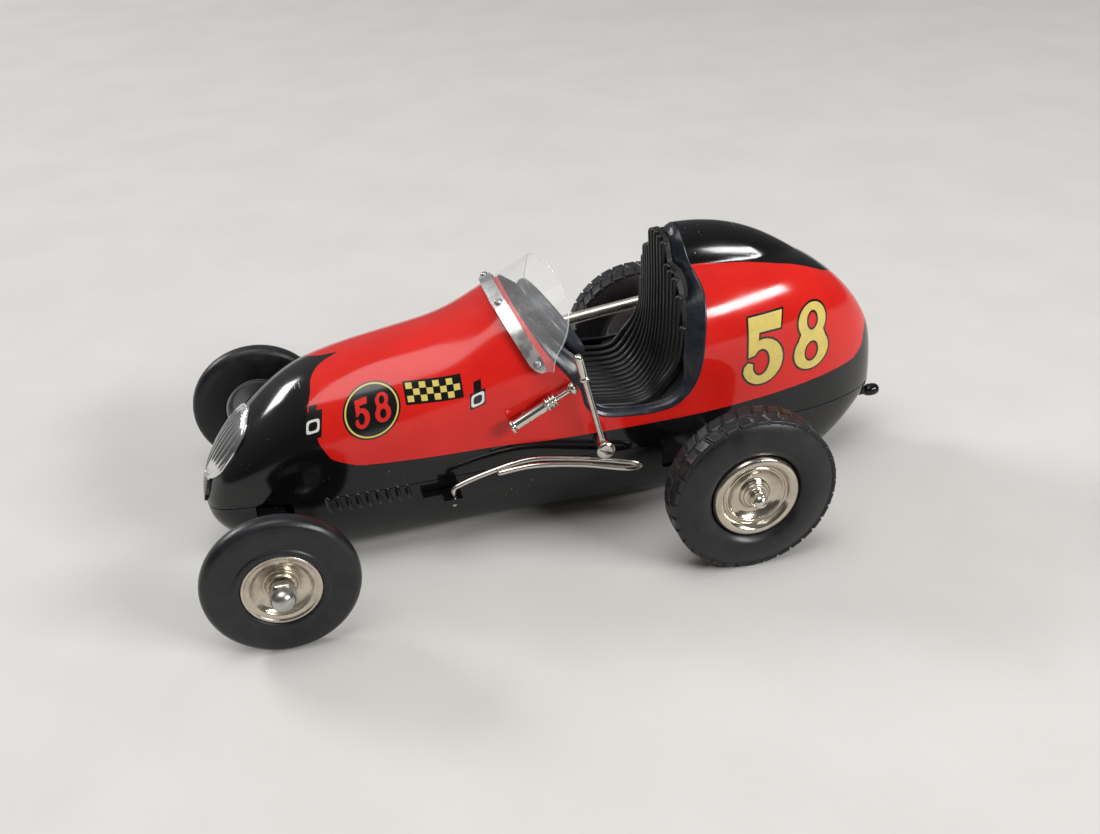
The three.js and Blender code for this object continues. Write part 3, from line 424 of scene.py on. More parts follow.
def arc_of(points):
    """Arc length from the top centre line for points on the body."""
    angle = np.arctan2(np.abs(points[:, 1]), points[:, 2] - PIVOT_Z)
    u = (points[:, 0] - MAP_X[0]) / 0.5
    return bilinear(ARC_MAP, u, angle / (MAP_ANGLE[1] - MAP_ANGLE[0]))


# ---------------------------------------------------------------- materials

def connect(node, inputs):
    """Links or sets each named input of a shader node."""
    for key, value in inputs.items():
        socket = node.inputs[key]
        if isinstance(value, bpy.types.NodeSocket):
            node.id_data.links.new(value, socket)
        elif socket.type == "RGBA":
            socket.default_value = (*value, 1)
        else:
            socket.default_value = value


def new_node(tree, kind, inputs, **settings):
    node = tree.nodes.new(kind)
    for key, value in settings.items():
        setattr(node, key, value)
    connect(node, inputs)
    return node


class Finish:
    """A principled material whose patterns come from nodes in the object's own coordinates."""

    def __init__(self, name, **sockets):
        self.material = bpy.data.materials.new(name)
        self.material.use_nodes = True
        self.shader = self.material.node_tree.nodes["Principled BSDF"]
        self.coords = self.node("ShaderNodeTexCoord", {}).outputs["Object"]
        for socket, value in sockets.items():
            self.set(socket.replace("_", " "), value)

    def node(self, kind, inputs, **settings):
        return new_node(self.material.node_tree, kind, inputs, **settings)

    def set(self, socket, value):
        connect(self.shader, {socket: value})

    def noise(self, size, detail=3, roughness=0.55, coords=None):
        """Cloudy pattern whose blobs are about that many millimetres."""
        inputs = {"Vector": coords or self.coords, "Scale": 1 / (size * MM)}
        inputs.update({"Detail": detail, "Roughness": roughness})
        return self.node("ShaderNodeTexNoise", inputs).outputs["Fac"]

    def band(self, value, low, high, to_low=0.0, to_high=1.0):
        """Maps low..high smoothly to the given values."""
        inputs = {0: value, 1: low, 2: high, 3: to_low, 4: to_high}
        return self.node("ShaderNodeMapRange", inputs, interpolation_type="SMOOTHSTEP").outputs[0]

    def math(self, operation, a, b):
        return self.node("ShaderNodeMath", {0: a, 1: b}, operation=operation).outputs[0]

    def mix(self, amount, a, b):
        return self.node("ShaderNodeMix", {0: amount, 6: a, 7: b}, data_type="RGBA").outputs[2]

    def specks(self, spacing, radius, share):
        """Scattered dots: the spacing and radius in millimetres, and how many of the places have one."""
        inputs = {"Vector": self.coords, "Scale": 1 / (spacing * MM)}
        cells = self.node("ShaderNodeTexVoronoi", inputs)
        dot = self.band(cells.outputs["Distance"], radius / spacing, 0.4 * radius / spacing)
        pick = self.node("ShaderNodeSeparateColor", {0: cells.outputs["Color"]}).outputs[0]
        return self.math("MULTIPLY", dot, self.band(pick, 1 - share, 1 - share + 0.02))

    def scratches(self, size, turn, amount):
        """Thin short streaks along one direction."""
        inputs = {"Vector": self.coords, "Scale": (1, 0.03, 1), "Rotation": turn}
        streaks = self.noise(size, 1, 0.4, self.node("ShaderNodeMapping", inputs).outputs[0])
        patches = self.noise(14, 2)
        lines = self.band(streaks, 0.735, 0.76)
        return self.math("MULTIPLY", self.math("MULTIPLY", lines, self.band(patches, 0.5, 0.65)), amount)

    def bump(self, height, distance, strength=1.0, onto=None):
        """Small relief: the distance in millimetres."""
        inputs = {"Height": height, "Distance": distance * MM, "Strength": strength}
        normal = self.node("ShaderNodeBump", inputs | ({"Normal": onto} if onto else {})).outputs[0]
        self.set("Normal", normal)
        return normal


RED = (0.66, 0.0155, 0.0098)
DEEP_RED = (0.6, 0.0125, 0.0085)
BLACK = (0.0036, 0.0036, 0.004)
DUST = (0.16, 0.155, 0.15)


def shade(colour, share):
    return tuple(share * c for c in colour)


def enamel(slot, name, painted=False):
    """Stove enamel with dust specks, rubbed patches and hairline scratches; painted mixes red over black."""
    finish = Finish(name, Specular_IOR_Level=0.38, Coat_Weight=0.08, Coat_Roughness=0.03)
    rub = finish.noise(24, 3)
    grain = finish.noise(0.9, 2)
    dust = finish.math("MAXIMUM", finish.specks(3.1, 0.17, 0.2), finish.specks(1.3, 0.07, 0.16))
    lines = finish.scratches(1.1, (0.3, 0.2, 0.9), 0.6)
    marks = finish.math("MAXIMUM", dust, lines)
    black = finish.mix(finish.band(rub, 0.35, 0.8), BLACK, (0.006, 0.006, 0.0064))
    if painted:
        edge = finish.node("ShaderNodeAttribute", {}, attribute_name="paint").outputs["Fac"]
        wander = finish.band(finish.noise(1.6, 2), 0.2, 0.8, -0.07, 0.07)
        red_share = finish.band(finish.math("ADD", edge, wander), -0.05, 0.05)
        red = finish.mix(finish.band(rub, 0.35, 0.65), DEEP_RED, RED)
        black = finish.mix(red_share, black, red)
        marks = finish.math("MULTIPLY", marks, finish.band(red_share, 0, 1, 1, 0.45))
    finish.set("Base Color", finish.mix(marks, black, DUST))
    finish.set("Roughness", finish.band(finish.math("ADD", rub, marks), 0.3, 1.1, 0.09, 0.3))
    fine = finish.bump(grain, 0.012, 0.35)
    finish.bump(marks, 0.03, 0.5, fine)
    return slot, finish.material


def metal(slot, name, colour, roughness, grain=0.35, axle=None):
    """Plated or polished metal with cloudy tarnish and fine pits; spun round the axle at (x, z) if given."""
    finish = Finish(name, Metallic=1.0)
    cloud = finish.noise(5, 5)
    fine = finish.noise(0.5, 2)
    tone = finish.mix(finish.band(cloud, 0.45, 0.85), colour, shade(colour, 0.62))
    finish.set("Base Color", finish.mix(finish.specks(1.7, 0.12, 0.25), tone, shade(colour, 0.3)))
    finish.set("Roughness", finish.band(cloud, 0.3, 0.8, roughness * 0.75, roughness * 1.6))
    relief = finish.bump(fine, 0.012, grain)
    if axle is not None:
        inputs = {"Vector": finish.coords, "Location": (-axle[0] * MM, 0, -axle[1] * MM), "Scale": (1, 0, 1)}
        flat = finish.node("ShaderNodeMapping", inputs).outputs[0]
        radius = finish.node("ShaderNodeVectorMath", {0: flat}, operation="LENGTH").outputs["Value"]
        inputs = {"W": radius, "Scale": 1 / (0.28 * MM), "Detail": 3}
        rings = finish.node("ShaderNodeTexNoise", inputs, noise_dimensions="1D").outputs["Fac"]
        finish.bump(rings, 0.03, 0.55, relief)
    return slot, finish.material


def rubber(slot, name, dark, light, roughness):
    """Moulded rubber: mottled bloom, fine texture and dust."""
    finish = Finish(name, Specular_IOR_Level=0.4)
    bloom = finish.noise(6, 5, 0.6)
    dust = finish.math("MULTIPLY", finish.specks(1.9, 0.1, 0.3), 0.5)
    tone = finish.mix(finish.band(bloom, 0.35, 0.75), dark, light)
    finish.set("Base Color", finish.mix(dust, tone, DUST))
    finish.set("Roughness", finish.band(bloom, 0.3, 0.8, roughness, roughness + 0.16))
    finish.bump(finish.noise(0.45, 3), 0.05, 0.5)
    return slot, finish.material


def print_ink(slot, name, colour, roughness=0.3):
    """Printed colour with slight unevenness and pinholes."""
    finish = Finish(name, Coat_Weight=0.3, Coat_Roughness=0.08)
    cloud = finish.noise(3, 3)
    tone = finish.mix(finish.band(cloud, 0.3, 0.8), colour, shade(colour, 0.84))
    holes = finish.math("MULTIPLY", finish.specks(1.5, 0.08, 0.15), 0.7)
    finish.set("Base Color", finish.mix(holes, tone, shade(colour, 0.3)))
    finish.set("Roughness", finish.band(cloud, 0.3, 0.8, roughness, roughness + 0.12))
    finish.bump(finish.noise(0.6, 2), 0.01, 0.4)
    return slot, finish.material


def clear_sheet(slot, name, milk):
    """Thin milky acetate with scuffs; milk is how much of the light it stops."""
    finish = Finish(name, Base_Color=(0.86, 0.87, 0.86), Specular_IOR_Level=1.0)
    haze = finish.noise(7, 4)
    streaks = finish.scratches(0.9, (0.2, 0.9, 0.1), 1.0)
    scuffs = finish.math("MAXIMUM", streaks, finish.specks(2.1, 0.12, 0.2))
    film = finish.band(haze, 0.3, 0.8, 0.8 * milk, 1.2 * milk)
    finish.set("Alpha", finish.math("ADD", film, finish.math("MULTIPLY", scuffs, 0.25)))
    finish.set("Roughness", finish.band(finish.math("ADD", haze, scuffs), 0.3, 1.2, 0.05, 0.35))
    finish.bump(finish.noise(4, 2), 0.03, 0.3)
    return slot, finish.material


# Each finish is a slot of the record and its material.
# Hub nickel made darker and warmer than bare plating: the warm tint is a painted reflection of a brown wooden
# surface.
HUB_NICKEL_WITH_PAINTED_REFLECTION = (0.6, 0.54, 0.45)
FRONT_AXLE, REAR_AXLE = (sum(node_box(f"{end}_left_tyre"))[[0, 2]] / 2 for end in ("front", "rear"))
PAINTED = enamel("red_enamel", "body_enamel", painted=True)
BLACK_ENAMEL = enamel("black_enamel", "black_enamel")
NICKEL = metal("nickel_plate", "nickel_plate", (0.66, 0.63, 0.57), 0.15)
FRONT_HUB = metal("nickel_plate", "front_hub_nickel", HUB_NICKEL_WITH_PAINTED_REFLECTION, 0.27, axle=FRONT_AXLE)
REAR_HUB = metal("nickel_plate", "rear_hub_nickel", HUB_NICKEL_WITH_PAINTED_REFLECTION, 0.17, axle=REAR_AXLE)
NUT_NICKEL = metal("nickel_plate", "nut_nickel", (0.5, 0.49, 0.46), 0.26)
PIPE_NICKEL = metal("nickel_plate", "pipe_nickel", (0.8, 0.75, 0.66), 0.27, 0.1)
CHROME = metal("nickel_plate", "chrome_plate", (0.78, 0.78, 0.79), 0.12)
ALUMINIUM = metal("polished_aluminium", "polished_aluminium", (0.86, 0.86, 0.84), 0.27, 0.15)
STEEL = metal("steel", "zinc_steel", (0.42, 0.42, 0.43), 0.34)
RIVET = ("nickel_plate", STEEL[1])
BRASS = metal("brass", "satin_brass", (0.62, 0.42, 0.15), 0.3)
TYRE = rubber("tyre_rubber", "tyre_rubber", (0.0085, 0.0088, 0.0104), (0.016, 0.0165, 0.0192), 0.31)
SEAT = rubber("seat_rubber", "seat_rubber", (0.0042, 0.0042, 0.0046), (0.0075, 0.0075, 0.008), 0.34)
# The trim is black enamel; its lighter blue-grey colour is a painted reflection on its gloss.
TRIM_WITH_PAINTED_SHEEN = rubber("coaming_enamel", "coaming_trim", (0.0105, 0.0125, 0.018), (0.02, 0.023, 0.031), 0.2)
PLASTIC = rubber("dark_plastic", "steering_plastic", (0.018, 0.02, 0.028), (0.034, 0.038, 0.05), 0.3)
ACETATE = clear_sheet("clear_sheet", "clear_acetate", 0.1)
# The free edge is milkier than the sheet: a painted highlight for the bright line that light piped along the
# edge makes.
ACETATE_EDGE_HIGHLIGHT = clear_sheet("clear_sheet", "acetate_edge_painted_highlight", 0.28)
GOLD_INK = print_ink("brass", "gold_ink", (0.7, 0.55, 0.13))
RED_INK = print_ink("red_enamel", "red_ink", RED)
BLACK_INK = print_ink("black_enamel", "black_ink", (0.005, 0.005, 0.0055), 0.16)
WHITE_INK = print_ink("nickel_plate", "white_ink", (0.72, 0.71, 0.68))


# ---------------------------------------------------------------- body shell and pan

STATIONS = 210
HALF_COUNT = 56


def offset_inward(outer, thickness):
    """The grid moved towards the body's middle by the sheet's thickness; the end rows move along X only."""
    outer = np.asarray(outer)
    normal = unit(np.cross(np.gradient(outer, axis=0), np.gradient(outer, axis=1)))
    middle = np.stack([outer[..., 0], outer[..., 1] * 0, outer[..., 2] * 0 + PIVOT_Z + 6], -1)
    normal *= np.sign((normal * (middle - outer)).sum(-1, keepdims=True))
    normal[:, [0, -1], 2] = 0
    inner = outer + unit(normal) * thickness
    inner[0] = outer[0] + vec(thickness, 0, 0)
    inner[-1] = outer[-1] - vec(thickness, 0, 0)
    return inner


def body_shape(side):
    """Loft of the body above the seam (1) or below it (-1)."""
    u = np.linspace(0, 1, STATIONS)
    xs = NOSE_X + (TAIL_X - NOSE_X) * (u - 0.8 * np.sin(2 * math.pi * u) / (2 * math.pi))
    rows = []
    for x in xs:
        if x in (xs[0], xs[-1]):
            half = np.tile(vec(0, seam_z(x)), (HALF_COUNT, 1))
        else:
            half = half_section(x, seam_z(x), top_z(x) if side > 0 else bottom(x), HALF_COUNT)
        half[-1, 0] = 0
        left = [(x, -y, z) for y, z in half]
        rows.append(left + [(x, y, z) for y, z in half[-2::-1]])
    outer = np.array(rows)
    inner = offset_inward(outer, SHEET)
    shift = vec(0, 0, side * SEAM_GAP / 2)
    return Shape().skin(outer + shift, inner + shift)


def prism(outline, low_y, high_y):
    """Cutting block whose side view is the outline of (x, z) points."""
    rows = [[(x, y, z) for x, z in outline] for y in (low_y, high_y)]
    return make("prism", Shape().grid(rows, wrap_columns=True, caps=True))


def cut(obj, tools):
    """Cuts the tools out of the object and removes them."""
    for tool in tools:
        modifier = obj.modifiers.new("cut", "BOOLEAN")
        modifier.operation = "DIFFERENCE"
        modifier.solver = "MANIFOLD"
        modifier.object = tool
    mesh = evaluated_mesh(obj)
    obj.modifiers.clear()
    obj.data = mesh
    for tool in tools:
        bpy.data.objects.remove(tool)


def slotted(obj, middle, along, half_length, radius):
    """Cuts a screwdriver slot across the object."""
    ends = [middle + along * s for s in (-half_length, half_length)]
    cut(obj, [make("slot", Shape().tube(ends, radius, 4, round_ends=False))])
    return obj


def keep_normals(obj, before):
    """Gives the cut mesh the smooth normals of the whole one wherever a face still lies on its surface."""
    before.calc_loop_triangles()
    normals = np.zeros(len(before.vertices) * 3)
    before.vertices.foreach_get("normal", normals)
    normals = normals.reshape(-1, 3)
    bm = bmesh.new()
    bm.from_mesh(before)
    bmesh.ops.triangulate(bm, faces=bm.faces)
    tree = BVHTree.FromBMesh(bm)
    bm.faces.ensure_lookup_table()
    mesh = obj.data
    found = []
    for vertex in mesh.vertices:
        place, _, index, _ = tree.find_nearest(vertex.co)
        corners = bm.faces[index].verts
        weights = [1 / ((place - corner.co).length + 1e-9) for corner in corners]
        found.append(unit(sum(w * normals[corner.index] for w, corner in zip(weights, corners))))
    bm.free()
    found = np.array(found)
    custom = np.zeros((len(mesh.loops), 3))
    for face in mesh.polygons:
        for loop in face.loop_indices:
            normal = found[mesh.loops[loop].vertex_index]
            custom[loop] = normal if normal.dot(face.normal) > 0.8 else face.normal
        face.use_smooth = True
    mesh.normals_split_custom_set(custom)


OPENING = [
    (-16.8, 98), (-16.6, 88.4), (-12.6, 80), (-7, 70.4), (-1.6, 63), (2.4, 57.5), (4.2, 50.4), (9, 46.2),
    (19, 44.4), (29, 44.1), (36, 45.5), (42, 50.6), (45.6, 58.5), (47.4, 67), (48.9, 75), (49.7, 81),
    (48.6, 86), (46.8, 91), (45.8, 104),
]
OPENING_LINE = spline(OPENING, 140)

front_red = curve([
    (0, -73.5), (1.2, -76.5), (2.5, -79.5), (4.7, -81.8), (7.3, -83.4), (9.7, -84.3), (13, -84.8),
    (17, -86), (20, -87), (26, -87), (33, -87),
])
low_red = curve([
    (-86.5, 60), (-85.5, 53.1), (-84.3, 50.7), (-82.4, 46.6), (-77.8, 43.9), (-73.1, 42.2), (-60, 41.1),
    (-43, 40.3), (-26, 40), (-9, 39.5), (9, 39.9), (26, 40.2), (45, 40.3), (64, 40.6), (85, 41),
    (108.3, 41.9), (114.5, 44.9), (117.2, 50.8), (121, 53),
])
headrest_black = curve([
    (40, 16.6), (46, 16.6), (49, 16.6), (58, 16.8), (69, 15.5), (77, 14), (84.5, 11.7), (97.6, 7.4),
    (103, 3), (106, 0),
])


def paint_shell(obj):
    """Signed distance to the edge of the red paint, in millimetres, kept on the shell's vertices."""
    points = vertices(obj)
    x, z = points[:, 0], points[:, 2]
    arc = arc_of(points)
    over_headrest = np.where((x > 30) & (x < 106), arc - headrest_black(x), 99)
    distance = np.minimum(np.minimum(z - low_red(x), x - front_red(arc)), over_headrest)
    # Vertices on the inside of the sheet get -2, which makes them black: painted shade for the inside of the
    # body.
    inside = np.abs(points[:, 1]) < half_width(x, z - SEAM_GAP / 2) - 0.4
    distance = np.where(inside, -2, distance)
    attribute = obj.data.attributes.new("paint", "FLOAT", "POINT")
    attribute.data.foreach_set("value", distance.astype(np.float32))


def build_body():
    """Shell and pan, with slots for the front axle beam, windows over the rear axle and the cockpit."""
    low, high = node_box("front_axle_beam")
    openings = ((low[0] - 0.6, high[0] + 2.8, low[2] - 0.6, high[2] + 1.4), (31, 70, 19.5, 33))
    for node, side, finish in (("body_shell", 1, PAINTED), ("body_pan", -1, BLACK_ENAMEL)):
        obj = make(f"{node}_skin", body_shape(side), 60)
        whole = obj.data.copy()
        cuts = []
        for limits in openings:
            outline = rounded(box(*limits), 2)
            cuts += [prism(outline, 12, 40), prism(outline, -40, -12)]
        if side > 0:
            cuts.append(prism(OPENING_LINE, -45, 45))
        cut(obj, cuts)
        keep_normals(obj, whole)
        if side > 0:
            paint_shell(obj)
        piece(obj, "car", finish, [node])


# ---------------------------------------------------------------- printed graphics

def flat_mesh(loops):
    """Filled plane mesh from closed outlines; an outline inside another one is a hole."""
    data = bpy.data.curves.new("outline", "CURVE")
    data.dimensions = "2D"
    data.fill_mode = "BOTH"
    for loop in loops:
        line = data.splines.new("POLY")
        line.points.add(len(loop) - 1)
        for point, (u, v) in zip(line.points, loop):
            point.co = (u, v, 0, 1)
        line.use_cyclic_u = True
    obj = new_object("outline", data)
    mesh = evaluated_mesh(obj)
    bpy.data.objects.remove(obj)
    return mesh


def printed(name, loops, surface, side, lift, ink, mirror=None):
    """Thin closed sheet on the body with the outlines' shape; mirror turns u round about that value."""
    bm = bmesh.new()
    bm.from_mesh(flat_mesh(loops))
    bmesh.ops.remove_doubles(bm, verts=bm.verts, dist=1e-4)
    flat = np.array([v.co[:2] for v in bm.verts])
    for axis, normal in enumerate(((1, 0, 0), (0, 1, 0))):
        for value in np.arange(flat[:, axis].min() + 1.1, flat[:, axis].max(), 1.3):
            geometry = bm.verts[:] + bm.edges[:] + bm.faces[:]
            place = Vector(normal) * value
            bmesh.ops.bisect_plane(bm, geom=geometry, dist=1e-4, plane_co=place, plane_no=normal)
    bm.verts.index_update()
    uv = np.array([v.co[:2] for v in bm.verts])
    u = uv[:, 0] if mirror is None else 2 * mirror - uv[:, 0]
    top = lifted(surface, u, uv[:, 1], side, lift)
    under = lifted(surface, u, uv[:, 1], side, -0.12)
    count = len(uv)
    faces = [[v.index for v in face.verts] for face in bm.faces]
    shell = faces + [[i + count for i in face[::-1]] for face in faces]
    shell += [
        [edge.verts[0].index, edge.verts[1].index, edge.verts[1].index + count, edge.verts[0].index + count]
        for edge in bm.edges if len(edge.link_faces) == 1
    ]
    bm.free()
    piece(make(name, Shape().add(np.vstack([top, under]), shell), 50), "car", ink)


def print_both(surface, prints):
    """Prints every item on both sides. On the right it is turned round about its middle, when it has one."""
    for side_name, side in SIDES.items():
        for name, loops, lift, ink, middle in prints:
            printed(name.format(side_name), loops, surface, side, lift, ink, middle if side > 0 else None)


def arc_points(centre, radii, start, end, count=20):
    angles = np.radians(np.linspace(start, end, count))
    return [(centre[0] + radii[0] * math.cos(a), centre[1] + radii[1] * math.sin(a)) for a in angles]


def digit_five():
    """A bold five in a unit square."""
    outline = [(0.12, 1.0), (0.9, 1.03), (0.86, 0.79), (0.36, 0.78), (0.35, 0.66)]
    outline += arc_points((0.47, 0.335), (0.47, 0.345), 108, -158)
    outline += [(0.045, 0.3), (0.13, 0.36), (0.24, 0.33)]
    outline += arc_points((0.43, 0.335), (0.2, 0.205), -155, 143)
    outline += [(0.13, 0.44)]
    return [outline]


def digit_eight():
    """A bold eight in a unit square."""
    upper, lower = ((0.5, 0.745), (0.4, 0.265)), ((0.5, 0.29), (0.49, 0.3))
    outline = arc_points(*upper, -38, 218, 28) + arc_points(*lower, 142, 398, 28)
    holes = (((0.5, 0.755), (0.165, 0.145)), ((0.5, 0.28), (0.2, 0.165)))
    return [outline] + [arc_points(*hole, 0, 345, 24) for hole in holes]


def outset(loop, distance):
    """The outline moved outward by a distance, or inward by a negative one."""
    points = np.asarray(loop, float)
    area = sum(a[0] * b[1] - a[1] * b[0] for a, b in zip(points, np.roll(points, -1, 0)))
    ahead = unit(np.roll(points, -1, 0) - points)
    behind = np.roll(ahead, 1, 0)
    middle = unit(ahead + behind)
    out = np.stack([middle[:, 1], -middle[:, 0]], 1) * np.sign(area)
    stretch = 1 / np.maximum((middle * ahead).sum(1), 0.55)
    return points + out * distance * stretch[:, None]


def placed_digit(loops, low, size, slant, drop=0, margin=0):
    """Digit outlines in millimetres, leaning by slant, sinking to the right by drop and grown by margin."""
    result = []
    for k, loop in enumerate(loops):
        points = [(low[0] + size[0] * (u + slant * v), low[1] + size[1] * v - drop * u) for u, v in loop]
        result.append(outset(points, margin if k == 0 else -margin) if margin else points)
    return result


def build_numbers():
    """The race number on both sides of the tail: gold with a dark edge."""
    middle, prints = 78.7, []
    digits = ((digit_five(), 60.0, (17.2, 24.2)), (digit_eight(), 81.0, (15.2, 23.2)))
    for n, (loops, left, size) in enumerate(digits):
        for layer, margin, lift, ink in (("edge", 0.75, 0.05, BLACK_INK), ("fill", 0, 0.1, GOLD_INK)):
            shape = placed_digit(loops, (left, 46.9), size, 0.1, 0.9, margin)
            prints.append((f"tail_number_{{}}_{n + 1}_{layer}", shape, lift, ink, middle))
    print_both(on_side, prints)


BADGE = (-66.6, 27.6)
BADGE_R = 9.6


def build_hood_graphics():
    """A number disc and a chequered band on each side of the hood."""
    def ring(radius, count=64):
        return arc_points(BADGE, (radius, radius), 0, 360 * (1 - 1 / count), count)

    cell, slope, start, columns, rows = 2.2, 0.22, -54.6, 8, 3
    skew = slope * cell
    squares = []
    for i in range(columns):
        for j in range(i % 2, rows, 2):
            left, top = start + i * cell, 22.2 + slope * i * cell + j * cell
            right = left + cell
            square = [(left, top), (right, top + skew), (right, top + skew + cell), (left, top + cell)]
            squares.append(outset(square, -0.06))
    end, rise = start + columns * cell, slope * columns * cell
    ground = [
        (start - 0.7, 21.5), (end + 0.7, 21.5 + rise), (end + 0.7, 22.9 + rise + rows * cell),
        (start - 0.7, 22.9 + rows * cell),
    ]
    prints = [
        ("hood_disc_{}", [ring(BADGE_R)], 0.05, BLACK_INK, None),
        ("hood_disc_ring_{}", [ring(BADGE_R - 0.6), ring(BADGE_R - 1.15)], 0.09, GOLD_INK, None),
    ]
    for n, (loops, shift) in enumerate(((digit_five(), -6.1), (digit_eight(), 0.7))):
        placed = placed_digit(loops, (BADGE[0] + shift, BADGE[1] - 4.9), (5.4, 9.6), 0.08)
        upside_down = [[(u, 2 * BADGE[1] - v) for u, v in loop] for loop in placed]
        prints.append((f"hood_disc_digit_{n + 1}_{{}}", upside_down, 0.09, RED_INK, BADGE[0]))
    prints += [
        ("hood_chequer_ground_{}", [ground], 0.05, BLACK_INK, None),
        ("hood_chequer_squares_{}", squares, 0.09, GOLD_INK, None),
    ]
    print_both(on_arc, prints)


def build_straps():
    """The printed hood straps and their buckles, turned to stand upright on the sloping hood."""
    prints = []
    for name, x, arc, turn, straps in (
        ("front", -86, 25.4, 0.21, ((-88.4, -83, 20.6, 29.4), (-87.6, -84.9, 18.6, 22))),
        ("rear", -31.9, 36.4, 0.1, ((-34.6, -29.2, 33.7, 39.1), (-33.2, -30.6, 30.2, 34.4))),
    ):
        def upright(limits, corner):
            u, v = (rounded(box(*limits), corner) - (x, arc)).T
            cos, sin = math.cos(turn), math.sin(turn)
            return np.stack([x + u * cos - v * sin, arc + u * sin + v * cos], 1)

        for n, strap in enumerate(straps):
            outline = upright(strap, 0.3)
            prints.append((f"strap_{name}_{{}}_{n + 1}", [outline], 0.04 + 0.02 * n, BLACK_INK, None))
        ring = [upright((x - w, x + w, arc - h, arc + h), 1.1) for w, h in ((2.25, 2.1), (1.5, 1.35))]
        prints.append((f"buckle_{name}_{{}}", ring, 0.12, WHITE_INK, None))
    print_both(on_arc, prints)


# ---------------------------------------------------------------- cockpit edge

LIP_GAP = 0.35
COAMING_START_Z = 84
COAMING_END_X = 45.8
COWL_X = 6
# How far the trim band reaches into the opening by height: up the cowl's edge and up the seat's side.
cowl_reach = curve([(46, 2.2), (55, 3.4), (60, 5.4), (61.8, 7), (64, 6), (70, 4.6), (84, 2)])
side_reach = curve([(44, 1.8), (52, 3), (60, 5.6), (80, 6.4), (88, 6.2), (94, 5.8), (98, 5.4)])
band_width = curve([(44, 3.4), (60, 4.2), (80, 4.2), (97, 3.6)])


def coaming_section(wide, reach):
    """Section of the trim band: inward and into-the-opening distances from the body's edge."""
    length = math.hypot(wide, reach)
    along, across = vec(wide, reach) / length, vec(-reach, wide) / length
    section = [
        (0.05, -0.45), (-0.12, 0.15), (0.12, 0.5), (0.7, 0.72), (0.3 * length, 0.98), (0.6 * length, 1.0),
        (length - 0.95, 0.8), (length - 0.6, 1.0), (length - 0.2, 1.02), (length, 0.7), (length, 0.2),
        (length - 0.25, -0.15), (0.5 * length, -0.3), (0.7, -0.5),
    ]
    return rounded([s * along + h * across for s, h in section], 0.4, steps=3)


def build_coaming():
    """Broad trim band round the cockpit opening with a thin bead along its inner edge."""
    front, rear = OPENING_LINE[:, 0] < COWL_X, OPENING_LINE[:, 0] > COWL_X
    low_enough = OPENING_LINE[:, 1] < np.where(front, COAMING_START_Z, top_z(COAMING_END_X))
    edge = OPENING_LINE[(front | rear) & low_enough]
    edge = resample(np.vstack([edge, (COAMING_END_X, top_z(COAMING_END_X))]), 150)
    width = half_width(edge[:, 0], edge[:, 1])
    width[-1] = 0
    left = np.stack([edge[:, 0], -width, edge[:, 1]], 1)
    tangent = np.gradient(edge, axis=0)
    into = unit(np.stack([-tangent[:, 1], 0 * tangent[:, 0], tangent[:, 0]], 1))
    mirror = vec(1, -1, 1)
    line = np.vstack([left, left[-2::-1] * mirror])
    into = np.vstack([into, into[-2::-1] * mirror])
    steps = np.concatenate([[0], np.cumsum(np.linalg.norm(np.diff(line, axis=0), axis=1))])
    even = np.linspace(0, steps[-1], 320)
    line, into = (np.stack([np.interp(even, steps, column) for column in grid.T], 1) for grid in (line, into))
    into = unit(into)
    inward = -unit(np.cross(unit(np.gradient(line, axis=0)), into))
    reach = np.where(line[:, 0] < COWL_X, cowl_reach(line[:, 2]), side_reach(line[:, 2]))
    ends = 0.15 + 0.85 * ease(np.minimum(even, steps[-1] - even) / 8)
    rows = []
    for point, inn, up, wide, deep, end in zip(line, inward, into, band_width(line[:, 2]), reach, ends):
        section = coaming_section(wide * end, deep * end)
        rows.append([point + inn * across + up * lift for across, lift in section])
    obj = make("coaming_band", Shape().grid(rows, wrap_columns=True, caps=True), 55)
    piece(obj, "car", TRIM_WITH_PAINTED_SHEEN, ["cockpit_coaming"])


# ---------------------------------------------------------------- grille

GRILLE_LOW, GRILLE_HIGH = 33.2, 55.6
grille_half = curve([
    (GRILLE_LOW, 1), (35.1, 6.2), (40.3, 11.2), (45.5, 11.8), (50, 10.9), (53.2, 7.8), (GRILLE_HIGH, 1.5),
])
GRILLE_BARS = 8


def nose_x(y, z):
    """Foremost station where the body is as wide as y at height z."""
    y, z = np.broadcast_arrays(np.abs(np.asarray(y, float)), np.asarray(z, float))
    low, high = np.full(y.shape, NOSE_X), np.full(y.shape, -80.0)
    for _ in range(36):
        middle = (low + high) / 2
        inside = (z < hood_top(middle)) & (z > bottom(middle)) & (half_width(middle, z) > y)
        low, high = np.where(inside, low, middle), np.where(inside, middle, high)
    return high


